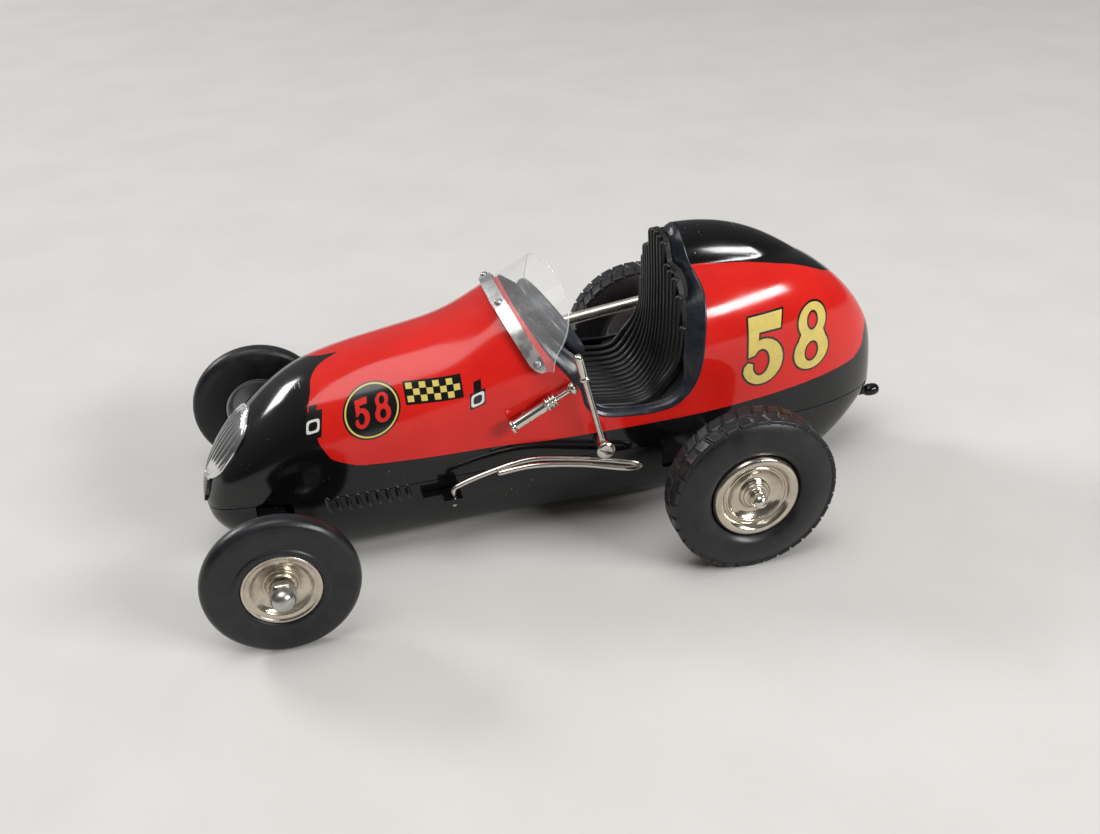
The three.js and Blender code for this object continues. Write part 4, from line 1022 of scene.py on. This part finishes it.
def build_grille():
    """Fluted plated grille that follows the nose, with a rolled rim, and a black sheet behind it; the black
    in the flutes' valleys is painted shade.
    """
    forward = unit(vec(-0.82, 0, 0.57))
    rows_z = GRILLE_LOW + (GRILLE_HIGH - GRILLE_LOW) * (0.5 - 0.5 * np.cos(np.linspace(0, math.pi, 60)))
    across = np.linspace(-1, 1, GRILLE_BARS * 14 + 1)
    flute = np.abs(np.sin((across + 1) / 2 * GRILLE_BARS * math.pi)) ** 0.7
    taper = np.sin(np.linspace(0.02, math.pi - 0.02, 60)) ** 0.4
    outer, inner = [], []
    for z, soft in zip(rows_z, taper):
        y = grille_half(z) * across
        base = np.stack([nose_x(y, z), y, np.full_like(y, z)], 1)
        lift = 0.3 + 1.15 * flute * soft
        outer.append(base + lift[:, None] * forward)
        inner.append(base + 0.05 * forward)
    shape = Shape().skin(outer, inner)
    rim_z = np.concatenate([rows_z, rows_z[-2:0:-1]])
    sides = np.concatenate([np.ones(60), -np.ones(58)])
    y = grille_half(rim_z) * sides
    rim = np.stack([nose_x(y, rim_z), y, rim_z], 1) + 0.45 * forward
    rim = resample(np.vstack([rim, rim[:1]]), 160)[:-1]
    along = unit(np.roll(rim, -1, 0) - np.roll(rim, 1, 0))
    turn = circle(10)
    out = unit(np.cross(along, forward))
    up = np.cross(out, along)
    rings = rim[:, None] + 0.62 * (
        np.cos(turn)[None, :, None] * out[:, None] + np.sin(turn)[None, :, None] * up[:, None]
    )
    shape.grid(rings, wrap_rows=True, wrap_columns=True)
    piece(make("grille_fluted", shape, 30), "car", CHROME, ["grille"])
    # Black enamel sheet just in front of the grille's back, so the valleys between the flutes show black:
    # painted shade.
    behind = np.array(inner)[3:-3, 2:-2]
    ground = Shape().skin(behind + 0.62 * forward, behind + 0.1 * forward)
    piece(make("grille_painted_shade_sheet", ground), "car", BLACK_ENAMEL)


# ---------------------------------------------------------------- seat

SEAT_PATH = spline([
    (2.5, 0, 45), (14, 0, 42.8), (25, 0, 41.8), (31.5, 0, 44), (36.6, 0, 51), (38.9, 0, 62), (39.6, 0, 76),
    (39.6, 0, 98.4),
], 160)
RIB_PITCH = 3.1
RIBS = 15
seat_top = curve([
    (0, 98), (4, 97.6), (6.6, 96), (8, 92.5), (9.2, 89.4), (12.4, 88.4), (15.5, 87), (17, 84), (18.6, 81.5),
    (20.2, 76), (22, 70), (24.5, 60),
])
seat_front = curve([(0, 3.2), (15, 3.6), (21, 5.5), (24.5, 9)])


def seat_line(y, lift=0):
    """Lengthwise line over the seat's face at a distance from its middle."""
    along = unit(np.gradient(SEAT_PATH, axis=0))
    facing = np.stack([-along[:, 2], along[:, 1], along[:, 0]], 1)
    bowl = 3.4 * (abs(y) / 23.6) ** 3
    wrap = -2 * (abs(y) / 23.6) ** 2
    dish = bowl + (wrap - bowl) * ease((SEAT_PATH[:, 2] - 47) / 15)
    line = SEAT_PATH + facing * (dish + lift)[:, None] + vec(0, y, 0)
    upright = np.arange(len(line)) > len(line) // 2
    keep = np.where(upright, line[:, 2] < seat_top(abs(y)), line[:, 0] > seat_front(abs(y)))
    return line[keep]


wing_start = curve([(44, 22), (60, 21.5), (70, 19), (80, 15), (88, 8.5), (93, 5), (98, 3.5)])


def seat_webs(side):
    """Front and back grids of the rubber webs from the seat to the trim: bend, back and cushion."""
    rear = OPENING_LINE[OPENING_LINE[:, 0] > 30]
    height = np.linspace(40, 97, 66)
    z = np.maximum(height, 46)
    edge_x = np.interp(z, rear[:, 1], rear[:, 0]) - 0.8 * side_reach(z)
    edge_y = half_width(edge_x + 4, z) - 0.9 * band_width(z)
    seat_x = np.interp(z, SEAT_PATH[90:, 2], SEAT_PATH[90:, 0]) + 1
    seat_y = wing_start(z)
    edge_x, edge_y = np.maximum(edge_x, seat_x + 0.2), np.maximum(edge_y, seat_y + 0.4)
    x = np.linspace(4, 42, 30)
    low = np.full_like(x, 42)
    bend = seat_line(19.5)
    corner = OPENING_LINE[(OPENING_LINE[:, 0] > 22) & (OPENING_LINE[:, 1] < 60)]
    inner = np.array([bend[np.argmin(np.hypot(bend[:, 0] - a, bend[:, 2] - b))] for a, b in corner])
    to_seat = unit(inner[:, [0, 2]] - corner) * 0.8 * side_reach(corner[:, 1])[:, None]
    rim_y = half_width(corner[:, 0], corner[:, 1]) - 0.9 * band_width(corner[:, 1])
    rim = np.stack([corner[:, 0] + to_seat[:, 0], side * rim_y, corner[:, 1] + to_seat[:, 1]], 1)
    webs = (
        (inner * vec(1, side, 1), rim, vec(0.8, 0, -0.8)),
        (
            np.stack([seat_x, side * seat_y, height], 1), np.stack([edge_x, side * edge_y, height], 1),
            vec(1.2, 0, 0),
        ),
        (
            np.stack([x, x * 0 + side * 18, low], 1),
            np.stack([x, side * (half_width(x, low) - 1.6), low + 1.2], 1), vec(0, 0, -0.8),
        ),
    )
    t = np.linspace(0, 1, 8)[None, :, None]
    for start, end, behind in webs:
        front = start[:, None] + (end - start)[:, None] * t
        yield front, front + behind


def build_seat():
    """Ribbed rubber seat: round ribs over a backing that follows their outline."""
    half = RIBS // 2 * RIB_PITCH + 1.6
    ys = np.linspace(-half, half, 61)
    shape = Shape().skin(*([resample(seat_line(y, lift), 90) for y in ys] for lift in (0, -1.7)))
    for k in range(RIBS):
        line = seat_line((k - RIBS // 2) * RIB_PITCH, 0.25)
        shape.tube(resample(line, 80)[1:-1], 1.32, 14)
    for side in SIDES.values():
        for front, behind in seat_webs(side):
            shape.skin(front, behind)
    piece(make("seat_ribbed", shape, 60), "car", SEAT, ["seat"])


# ---------------------------------------------------------------- steering wheel

STEER_CENTRE = vec(0.4, 0, 71.7)
STEER_TILT = math.radians(35.5)
STEER_AXIS = vec(math.cos(STEER_TILT), 0, math.sin(STEER_TILT))
STEER_R = 15.2


def build_steering():
    """Steering wheel with three flat spokes, and the column that it turns on."""
    profile = [(STEER_R + 1.75 * math.cos(a), 1.925 * math.sin(a)) for a in circle(20)]
    shape = Shape().turned(profile, STEER_CENTRE, STEER_AXIS, 120)
    down = vec(math.sin(STEER_TILT), 0, -math.cos(STEER_TILT))
    third = np.cross(STEER_AXIS, down)
    thickness = np.interp(np.arange(14), [0, 5, 13], [1.7, 1.25, 1.45])
    for angle in circle(3):
        out = math.cos(angle) * down + math.sin(angle) * third
        path = [
            STEER_CENTRE + out * r + STEER_AXIS * 0.6 * math.cos(r / STEER_R * 1.5)
            for r in np.linspace(1.5, STEER_R, 14)
        ]
        shape.tube(path, thickness, 14, squash=0.5)
    hub = [(0, 2.5), (1.9, 2.3), (3.5, 1.1), (3.6, -1.2), (2.2, -1.5), (0.95, -1.7), (0.95, -17), (0, -17)]
    shape.turned(hub, STEER_CENTRE, STEER_AXIS, 48, 0.4)
    piece(make("steering_wheel_rim", shape, 50), "steering", PLASTIC, ["steering_wheel"])
    column = [(1.15, -28.6), (2.0, -28.6), (2.0, -9), (2.5, -8.6), (2.5, -7.2), (1.15, -7.0)]
    turned_piece(
        "steering_column_tube", column, STEER_CENTRE, STEER_AXIS, 40, 0.25, 50, NICKEL, "steering_column",
    )


# ---------------------------------------------------------------- windscreen

SLANT = 0.524
STRIP_PLANE = 22.2
STRIP_WIDTH = 5.2
STRIP_ANGLE = 1.27
STRIP_END = 0.11
SCREEN_APEX = vec(-110, 0, 50)
SCREEN_UNDER = LIP_GAP + 0.25
STRIP_UNDER = SCREEN_UNDER + 0.5 + LIP_GAP


def on_cowl(plane, angle, lift):
    """Point on the cowl where a slanted plane meets it at an angle round the cowl."""
    x = plane - SLANT * 80
    for _ in range(14):
        widest = widest_z(x)
        power = 2 / UPPER_ROUND
        z = widest + (hood_top(x) - widest) * abs(math.cos(angle)) ** power
        y = widest_half(x) * abs(math.sin(angle)) ** power * (1 if angle > 0 else -1)
        x = plane - SLANT * z
    normal = unit(vec(-0.3, y / widest_half(x), (z - widest_z(x)) / 28))
    return vec(x, y, z) + normal * lift


# How far the sheet reaches past its strip, by the angle round the cowl from the left to the right end.
screen_reach = curve([
    (-1.28, 0.6), (-1.15, 4.4), (-1.04, 9.2), (-0.92, 13.1), (-0.75, 16.5), (-0.58, 18.2), (-0.35, 18.8),
    (-0.12, 18.1), (0.1, 16.6), (0.3, 15.6), (0.5, 14.9), (0.7, 13.4), (0.9, 11), (1.05, 8.2), (1.15, 5.4),
    (1.28, 0.6),
])


def screen_rows(lift):
    """Grid of the sheet at a height above the cowl: under the strip, then flaring back to its free edge."""
    rows = []
    for angle in STRIP_ANGLE * np.sin(np.linspace(-1, 1, 97) * math.pi / 2):
        front = on_cowl(STRIP_PLANE + 0.6, angle, lift)
        rear = on_cowl(STRIP_PLANE + STRIP_WIDTH, angle, lift)
        reach = unit(rear - SCREEN_APEX) * float(screen_reach(angle))
        rows.append([front, rear] + [rear + reach * t for t in np.linspace(0, 1, 12)[1:]])
    return rows


def strip_rows(lift, inset):
    """Grid of the metal strip with round ends."""
    first_arc = STRIP_END * (1 - np.cos(np.linspace(0, math.pi / 2, 9)))
    last_arc = STRIP_END * (1 - np.cos(np.linspace(math.pi / 2, 0, 9)))
    straight = np.linspace(-STRIP_ANGLE + STRIP_END, STRIP_ANGLE - STRIP_END, 70)
    rows = []
    for angle in np.concatenate([-STRIP_ANGLE + first_arc[:-1], straight, STRIP_ANGLE - last_arc[1:]]):
        near_end = max(0, abs(angle) - STRIP_ANGLE + STRIP_END) / STRIP_END
        half = max(0.05, math.sqrt(max(0, 1 - near_end**2))) * (STRIP_WIDTH / 2 - inset)
        spread = np.linspace(-1, 1, 9) * half + STRIP_WIDTH / 2
        rows.append([on_cowl(STRIP_PLANE + t, angle, lift) for t in spread])
    return rows


def build_windscreen():
    """Clear sheet bent round the cowl, the metal strip that holds it, and four slotted rivets."""
    sheet = Shape().skin(screen_rows(SCREEN_UNDER + 0.5), screen_rows(SCREEN_UNDER))
    piece(make("windscreen_sheet", sheet), "car", ACETATE, ["windscreen"])
    free_edge = Shape().tube([row[-1] for row in screen_rows(SCREEN_UNDER + 0.25)], 0.26, 10)
    piece(make("windscreen_edge", free_edge, 60), "car", ACETATE_EDGE_HIGHLIGHT)
    strip = Shape().skin(strip_rows(STRIP_UNDER + 0.8, 0.12), strip_rows(STRIP_UNDER, 0))
    piece(make("screen_strip", strip), "car", ALUMINIUM, ["windscreen_strip"])
    head = [(0, 0.02), (1.35, 0.02), (1.35, 0.45), (0.95, 0.95), (0, 1.1)]
    for n, angle in enumerate((-1.19, -0.38, 0.38, 1.19)):
        foot, above = (on_cowl(STRIP_PLANE + STRIP_WIDTH / 2, angle, STRIP_UNDER + up) for up in (0.8, 4))
        out = unit(above - foot)
        rivet = make(f"rivet_{n + 1}", Shape().turned(head, foot, out, 32, 0.25))
        slotted(rivet, foot + out * 1.1, unit(np.cross(out, vec(0, 1, 0.4))), 2, 0.24)
        piece(rivet, "car", RIVET, [f"windscreen_rivet_{n + 1}"])


# ---------------------------------------------------------------- wheels

def wheel_place(prefix):
    """Centre of a tyre's outer face and the outward direction."""
    low, high = node_box(f"{prefix}_tyre")
    middle = (low + high) / 2
    side = -1 if middle[1] < 0 else 1
    face = low[1] if side < 0 else high[1]
    return vec(middle[0], face, middle[2]), vec(0, side, 0)


FRONT_TYRE = [
    (12.8, -7.9), (12.8, -0.2), (13.4, 0.15), (14.2, 0.35), (14.9, 0.1), (15.3, -0.35), (20.8, -0.2),
    (23.3, -0.75), (24.6, -1.9), (25, -3.3), (25, -4.8), (24.6, -6.2), (23.3, -7.3), (20.8, -7.9),
]
FRONT_DISC = [
    (1.75, -1.4), (4.4, -1.4), (4.9, -1.9), (5.2, -3.2), (5.6, -3.3), (6.2, -3.0), (8.6, -2.2), (9.4, -1.5),
    (9.9, -0.9), (10.5, -0.75), (11.3, -0.6), (11.9, -0.15), (12.5, -0.2), (12.75, -0.7), (12.75, -3.8),
    (11.6, -3.8), (11, -2.2), (9.6, -3.4), (6, -4), (1.75, -4),
]
FRONT_BACK = [
    (1.75, -4.2), (12.7, -4.2), (12.7, -7.7), (11.9, -7.8), (11.2, -7.2), (10.2, -5.6), (4, -5.4),
    (3.4, -7.6), (1.75, -7.6),
]
REAR_TYRE = [
    (15.45, -11.6), (15.45, -1.4), (16.1, -0.6), (17.2, 0.3), (18.4, 0.85), (19.8, 0.95), (21.6, 0.75),
    (23.4, 0.3), (25.2, -0.3), (26.5, -0.85), (27.0, -1.25), (27.3, -1.05), (28.0, -0.85), (28.45, -1.25),
    (28.5, -2.2),
    (28.5, -6.2), (28.5, -10.2), (28.45, -11.2), (28.0, -11.6), (27.3, -11.4), (27.0, -11.2), (26.5, -11.6),
    (25.2, -12.1), (23.4, -12.7), (21.6, -13), (17, -12.6),
]
REAR_DISC = [
    (1.9, -0.7), (3.0, -0.7), (3.25, -1.2), (4.1, -1.3), (4.4, -2.0), (5.0, -2.2), (5.3, -3.3), (6.2, -3.6),
    (7.4, -3.4), (8.6, -2.7), (9.4, -2.0), (9.8, -1.5), (10.2, -1.55), (10.6, -1.9), (11, -1.8), (11.5, -0.9),
    (12.3, -0.05), (13.3, 0.25), (14.3, -0.1), (15, -1.0), (15.35, -2.2), (15.4, -5.6), (14.3, -5.6),
    (13.2, -2.6), (10.8, -3.6), (9.4, -5), (1.9, -5.2),
]
REAR_BACK = [
    (1.9, -5.9), (15.4, -5.9), (15.4, -11.2), (14.6, -11.4), (13.9, -10.8), (12.6, -8), (5, -7.8), (4.2, -12),
    (1.9, -12),
]
LUGS = 35
LUG_DEPTH = 0.85


def tread(turn, profile):
    """Depth of the grooves between a rear tyre's lugs: two slanted rows with a fine line between them."""
    across = (profile[:, 1:2] + 6.2) / 5.4
    on_tread = ease((profile[:, :1] - 26.95) / 0.35)
    row = np.where(across > 0, 0, 0.5)
    phase = (turn / (2 * math.pi) * LUGS + 0.24 * np.abs(across) + row) % 1
    groove = ease((0.115 - np.abs(phase - 0.5)) / 0.06)
    line = ease((0.07 - np.abs(across)) / 0.04) * 0.7
    crown = 0.12 * np.sin(phase * math.pi) ** 2 - 0.12
    return (crown - LUG_DEPTH * np.maximum(groove, line)) * on_tread


def refined(profile, spacing):
    """The profile's rounded outline with points no further apart than the spacing."""
    outline = rounded(profile, 0.45, steps=3)
    closed = np.vstack([outline, outline[:1]])
    return resample(closed, int(np.linalg.norm(np.diff(closed, axis=0), axis=1).sum() / spacing))[:-1]


def sidewall_marks(shape, centre, out):
    """Four short raised bars moulded on the tyre's side."""
    radial = vec(-math.cos(0.25), 0, -math.sin(0.25))
    across = vec(radial[2], 0, -radial[0])
    for k in range(4):
        foot = centre + out * 0.78 + across * (1.25 * (k - 1.5))
        shape.tube([foot + radial * r for r in (18.7, 20.3)], 0.24, 8)
        shape.tube([foot + radial * 20.9, foot + radial * 22.8 - out * 0.35], 0.24, 8)


def build_wheel(prefix, body, tyre, disc, back, hub):
    """Tyre, outer disc and inner disc; the rear tyres have a tread and marks."""
    centre, out = wheel_place(prefix)
    if tyre is REAR_TYRE:
        shape = Shape().turned(refined(tyre, 0.5), centre, out, LUGS * 18, carve=tread)
        sidewall_marks(shape, centre, out)
    else:
        shape = Shape().turned(tyre, centre, out, 160, 0.6)
    piece(make(f"{prefix}_tyre_rubber", shape, 50), body, TYRE, [f"{prefix}_tyre"])
    for part, profile, finish in (("disc", disc, hub), ("back_disc", back, STEEL)):
        name = f"{prefix}_{part}"
        turned_piece(f"{name}_pressing", profile, centre, out, 128, 0.22, 35, finish, name, body, 3)


def build_front_nut(prefix):
    """Domed nut on a hexagon."""
    centre, out = wheel_place(prefix)
    hexagon = [(4.4 * math.cos(a), 4.4 * math.sin(a)) for a in circle(6)]
    outline = rounded(hexagon, 0.4, steps=3)
    rows = []
    for along, scale in ((-0.5, 0.9), (-0.3, 0.99), (2.1, 1.0), (2.45, 0.93), (2.5, 0.86)):
        rows.append([centre + out * along + vec(u * scale, 0, v * scale) for u, v in outline])
    dome = [
        (0, 2.2), (3.5, 2.2), (3.6, 2.8), (3.95, 3.6), (4.0, 4.6), (3.75, 5.8), (3.1, 6.8), (2.1, 7.5),
        (0.9, 7.85), (0, 7.9),
    ]
    shape = Shape().grid(rows, wrap_columns=True, caps=True).turned(dome, centre, out, 64, 0.5)
    piece(make(f"{prefix}_acorn_nut", shape, 35), "car", NUT_NICKEL, [f"{prefix}_axle_nut"])


def build_rear_nut(prefix):
    """Slotted dome nut that turns with the axle."""
    centre, out = wheel_place(prefix)
    dome = [(0, -0.6), (2.75, -0.6), (2.75, 1.2), (2.6, 1.3), (2.6, 2.4), (2.2, 3.4), (1.3, 4.1), (0, 4.3)]
    nut = make(f"{prefix}_dome_nut", Shape().turned(dome, centre, out, 64, 0.3))
    slotted(nut, centre + out * 4.35, vec(1, 0, 0.35), 4, 0.65)
    piece(nut, "rear_axle_assembly", NICKEL, [f"{prefix}_axle_nut"])


def build_wheels():
    for side_name in SIDES:
        front, rear = f"front_{side_name}", f"rear_{side_name}"
        build_wheel(front, f"{front}_wheel", FRONT_TYRE, FRONT_DISC, FRONT_BACK, FRONT_HUB)
        build_wheel(rear, "rear_axle_assembly", REAR_TYRE, REAR_DISC, REAR_BACK, REAR_HUB)
        build_front_nut(front)
        build_rear_nut(rear)


# ---------------------------------------------------------------- side fittings

LEVER_PIVOT = vec(8.4, -34.6, 37)
LEVER_TIP = vec(0.4, -34.6, 74.3)


def build_lever():
    """Hand lever with its grip and eye, and the slotted screw that it turns on."""
    up = unit(LEVER_TIP - LEVER_PIVOT)
    length = np.linalg.norm(LEVER_TIP - LEVER_PIVOT)
    grip = length - 9.5
    rod = [
        (0, 1.5), (1.05, 1.5), (1.0, 12), (1.05, grip - 1), (1.75, grip - 0.7), (1.8, grip + 0.3),
        (1.35, grip + 0.8), (1.5, grip + 3), (1.55, length - 1.8), (1.2, length - 0.5), (0, length),
    ]
    shape = Shape().turned(rod, LEVER_PIVOT, up, 40, 0.5)
    shape.turned(box(1.35, 2.7, -0.95, 0.95), LEVER_PIVOT, (0, 1, 0), 48, 0.3)
    piece(make("hand_lever_rod", shape), "lever", NICKEL, ["hand_lever"])

    body_y = float(half_width(LEVER_PIVOT[0], LEVER_PIVOT[2]))
    outer, inner = 35.95, 33.25
    stem = [
        (0, body_y), (2.4, body_y), (2.4, inner), (1.15, inner), (1.15, outer), (3.2, outer),
        (3.2, outer + 0.7), (2.4, outer + 1.25), (0, outer + 1.4),
    ]
    axis = vec(0, -1, 0)
    foot = vec(LEVER_PIVOT[0], 0, LEVER_PIVOT[2])
    screw = make("lever_screw_head", Shape().turned(stem, foot, axis, 56, 0.3))
    slotted(screw, foot + axis * (outer + 1.45), vec(1, 0, -0.5), 4, 0.6)
    piece(screw, "car", NICKEL, ["lever_screw"])


PUMP_FOOT = vec(-22.3, -30.4, 48.9)
PUMP_END = vec(0.6, -30.4, 60.5)


def build_pump():
    """Pump barrel with its ridges, and the plunger with a knob."""
    along = unit(PUMP_END - PUMP_FOOT)
    length = np.linalg.norm(PUMP_END - PUMP_FOOT)
    barrel = [
        (0, 0), (2.7, 0), (2.75, 0.9), (2.2, 1.2), (1.95, 1.6), (1.95, 13.5), (2.6, 13.9), (2.65, 14.6),
        (2.05, 14.9), (2.05, 15.3), (2.65, 15.6), (2.65, 16.2), (2.05, 16.5), (2.05, 16.7), (2.6, 16.95),
        (2.5, 17.6), (1.15, 17.7), (1.15, 1.3), (0, 1.3),
    ]
    turned_piece("pump_barrel_turned", barrel, PUMP_FOOT, along, 56, 0.3, 40, NICKEL, "pump_barrel")
    plunger = [
        (0, 2.5), (0.95, 2.5), (0.95, length - 3.4), (1.3, length - 3), (1.7, length - 2.7),
        (2.35, length - 2.2), (2.4, length - 0.9), (1.7, length - 0.3), (0, length),
    ]
    turned_piece(
        "pump_plunger_knob", plunger, PUMP_FOOT, along, 48, 0.3, 40, NICKEL, "pump_plunger", "plunger",
    )


BRIDLE = [
    (-44, -31.4, 23.6), (-44, -31.4, 27.4), (-43.6, -31.4, 29.6), (-41.8, -31.3, 30.6), (-30, -30.9, 33.6),
    (-17, -30.6, 35.2), (0, -31.4, 32.6), (16, -32.8, 28.8), (19.6, -33.8, 28.1), (20.8, -35, 27.9),
    (19.6, -36.2, 28.1), (16, -36.9, 28.6), (0, -35.2, 32.4), (-17, -34.2, 34.9), (-28, -33.3, 33.9),
]


def build_wires():
    """Bent bridle hook, and the exhaust pipe with an open end."""
    wire = Shape().tube(spline(BRIDLE, 260), 0.9, 18)
    piece(make("bridle_wire_bent", wire, 50), "bridle", NICKEL, ["bridle_wire"])
    y = 32.4
    start = float(half_width(-54, 43.6)) + 0.65
    path = spline([
        (-54, start, 43.6), (-53.6, start + 1.2, 43.7), (-51, 31.2, 44.2), (-45, y, 45.1), (-36, y, 46.4),
        (13, y, 52.7), (38, y, 55.4), (66, y, 58.4),
    ], 160)
    pipe = make("exhaust_tube", Shape().tube(path, 2.15, 36, round_ends=False), 50)
    last = unit(path[-1] - path[-2])
    bore = Shape().tube([path[-1] - last * 12, path[-1] + last * 2], 1.75, 32, round_ends=False)
    cut(pipe, [make("bore", bore, 50)])
    piece(pipe, "car", PIPE_NICKEL, ["exhaust_pipe"])


def build_tail_knob():
    low, high = node_box("tail_screw")
    start, length = vec(low[0], 0, (low[2] + high[2]) / 2), high[0] - low[0]
    profile = [
        (0, 0), (1.4, 0), (1.4, length - 6.4), (1.9, length - 5.8), (2.35, length - 4.6), (2.4, length - 2.6),
        (2.0, length - 1), (1.1, length - 0.2), (0, length),
    ]
    turned_piece("tail_screw_knob", profile, start, (1, 0, 0), 48, 0.5, 50, BLACK_ENAMEL, "tail_screw")


LOUVRES = 9


def build_louvres():
    """Rows of small pressed louvres low on the sides, each steep at one edge and fading at the other."""
    s, t = np.meshgrid(np.linspace(-1, 1, 17), np.linspace(-1, 1, 21), indexing="ij")
    steep = np.sqrt(np.maximum(0, 1 - ((s - 0.5) / 0.5) ** 2))
    swell = np.sqrt(np.maximum(0, 1 - t**2)) * np.where(s < 0.5, ease((s + 1) / 1.5), steep)
    for side_name, side in SIDES.items():
        shape = Shape()
        for k in range(LOUVRES):
            x = -85.4 + 3.35 * k + 1.05 * s - 0.5 * t
            z = 28.0 + 3.3 * t + 0.02 * k
            shape.skin(*(lifted(on_side, x, z, side, lift) for lift in (1.15 * swell - 0.12, 0 * x - 0.5)))
        piece(make(f"louvres_{side_name}", shape, 50), "car", BLACK_ENAMEL)


# ---------------------------------------------------------------- CAD parts that stay

def finish_cad_nodes():
    """Materials and rounded edges for the CAD nodes that are seen as they are."""
    for names, (_, material), bevel in (
        ("front_axle_beam", BLACK_ENAMEL, 0.3),
        ("bridle_bracket", BLACK_ENAMEL, 0.5),
        ("dashboard", BLACK_ENAMEL, 0.15),
        ("pan_screw_front pan_screw_rear drive_plate_left drive_plate_right", STEEL, 0.12),
        ("front_left_stub_axle front_right_stub_axle rear_axle flywheel_shaft flywheel", STEEL, 0.1),
        ("drive_pillar_1 drive_pillar_2 drive_pillar_3 axle_gear countershaft", BRASS, 0.06),
        ("pump_stud exhaust_stud", NICKEL, 0.12),
    ):
        for name in names.split():
            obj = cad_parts[name]
            obj.data.materials.clear()
            obj.data.materials.append(material)
            modifier = obj.modifiers.new("edges", "BEVEL")
            modifier.width = bevel * MM
            modifier.segments = 3
            modifier.limit_method = "ANGLE"
            modifier.angle_limit = math.radians(40)
            modifier.harden_normals = True


# ---------------------------------------------------------------- studio

def build_camera():
    """The photograph's view: place, aim, roll and lens."""
    azimuth, elevation, roll = -0.22333, 0.53815, -0.0602
    level = math.cos(elevation)
    back = Vector((math.sin(azimuth) * level, -math.cos(azimuth) * level, math.sin(elevation)))
    right = (-back).cross(Vector((0, 0, 1))).normalized()
    up = right.cross(-back)
    x_axis = math.cos(roll) * right + math.sin(roll) * up
    y_axis = -math.sin(roll) * right + math.cos(roll) * up
    camera = bpy.data.objects.new("camera", bpy.data.cameras.new("camera"))
    camera.data.lens = 41.107
    camera.data.sensor_width = 36
    camera.data.clip_start = 0.01
    turn = Matrix((x_axis, y_axis, back)).transposed().to_4x4()
    camera.matrix_world = Matrix.Translation(Vector((-88.633, -381.293, 265.082)) * MM) @ turn
    bpy.context.scene.collection.objects.link(camera)
    bpy.context.scene.camera = camera


def build_floor():
    finish = Finish("pale_floor", Roughness=0.85, Specular_IOR_Level=0.2)
    cloud = finish.band(finish.noise(60, 4), 0.3, 0.7)
    finish.set("Base Color", finish.mix(cloud, (0.62, 0.605, 0.58), (0.65, 0.635, 0.61)))
    floor = make("floor", Shape().grid([[(x, y, 0) for x in (-2500, 2500)] for y in (-2500, 2500)]))
    floor.data.materials.append(finish.material)


def area_light(name, place, target, size, power):
    data = bpy.data.lights.new(name, "AREA")
    data.shape = "RECTANGLE"
    data.size, data.size_y = size[0] * MM, size[1] * MM
    data.energy = power
    light = bpy.data.objects.new(name, data)
    light.location = Vector(place) * MM
    aim = (Vector(target) - Vector(place)).normalized()
    light.rotation_euler = aim.to_track_quat("-Z", "Y").to_euler()
    bpy.context.scene.collection.objects.link(light)


def build_lights():
    """A window at the left behind the tail, one at the right ahead of the nose, a ceiling and a pale room."""
    area_light("window", (1220, -1268, 950), (50, 0, 70), (930, 285), 27)
    area_light("second_window", (-1310, 1260, 1110), (-50, 0, 60), (660, 390), 18)
    area_light("ceiling", (-200, -250, 1300), (0, 0, 30), (900, 900), 9)
    world = bpy.data.worlds.new("room")
    world.use_nodes = True
    tree = world.node_tree
    around = new_node(tree, "ShaderNodeTexCoord", {}).outputs["Generated"]
    turned = new_node(tree, "ShaderNodeMapping", {0: around, "Rotation": (0.5, 0, 0)}).outputs[0]
    height = new_node(tree, "ShaderNodeSeparateXYZ", {0: turned}).outputs["Z"]
    ramp = new_node(tree, "ShaderNodeValToRGB", {0: height})
    stops = ramp.color_ramp.elements
    stops[0].position, stops[0].color = 0.0, (0.2, 0.19, 0.185, 1)
    stops[1].position, stops[1].color = 1.0, (0.85, 0.86, 0.88, 1)
    stops.new(0.35).color = (0.36, 0.36, 0.355, 1)
    connect(tree.nodes["Background"], {"Color": ramp.outputs[0], "Strength": 0.45})
    bpy.context.scene.world = world
    bpy.context.scene.view_settings.view_transform = "Standard"


for build in (
    build_body, build_numbers, build_hood_graphics, build_straps, build_louvres, build_coaming, build_grille,
    build_seat, build_steering, build_windscreen, build_wheels, build_lever, build_pump, build_wires,
    build_tail_knob, finish_cad_nodes, build_camera, build_floor, build_lights,
):
    build()
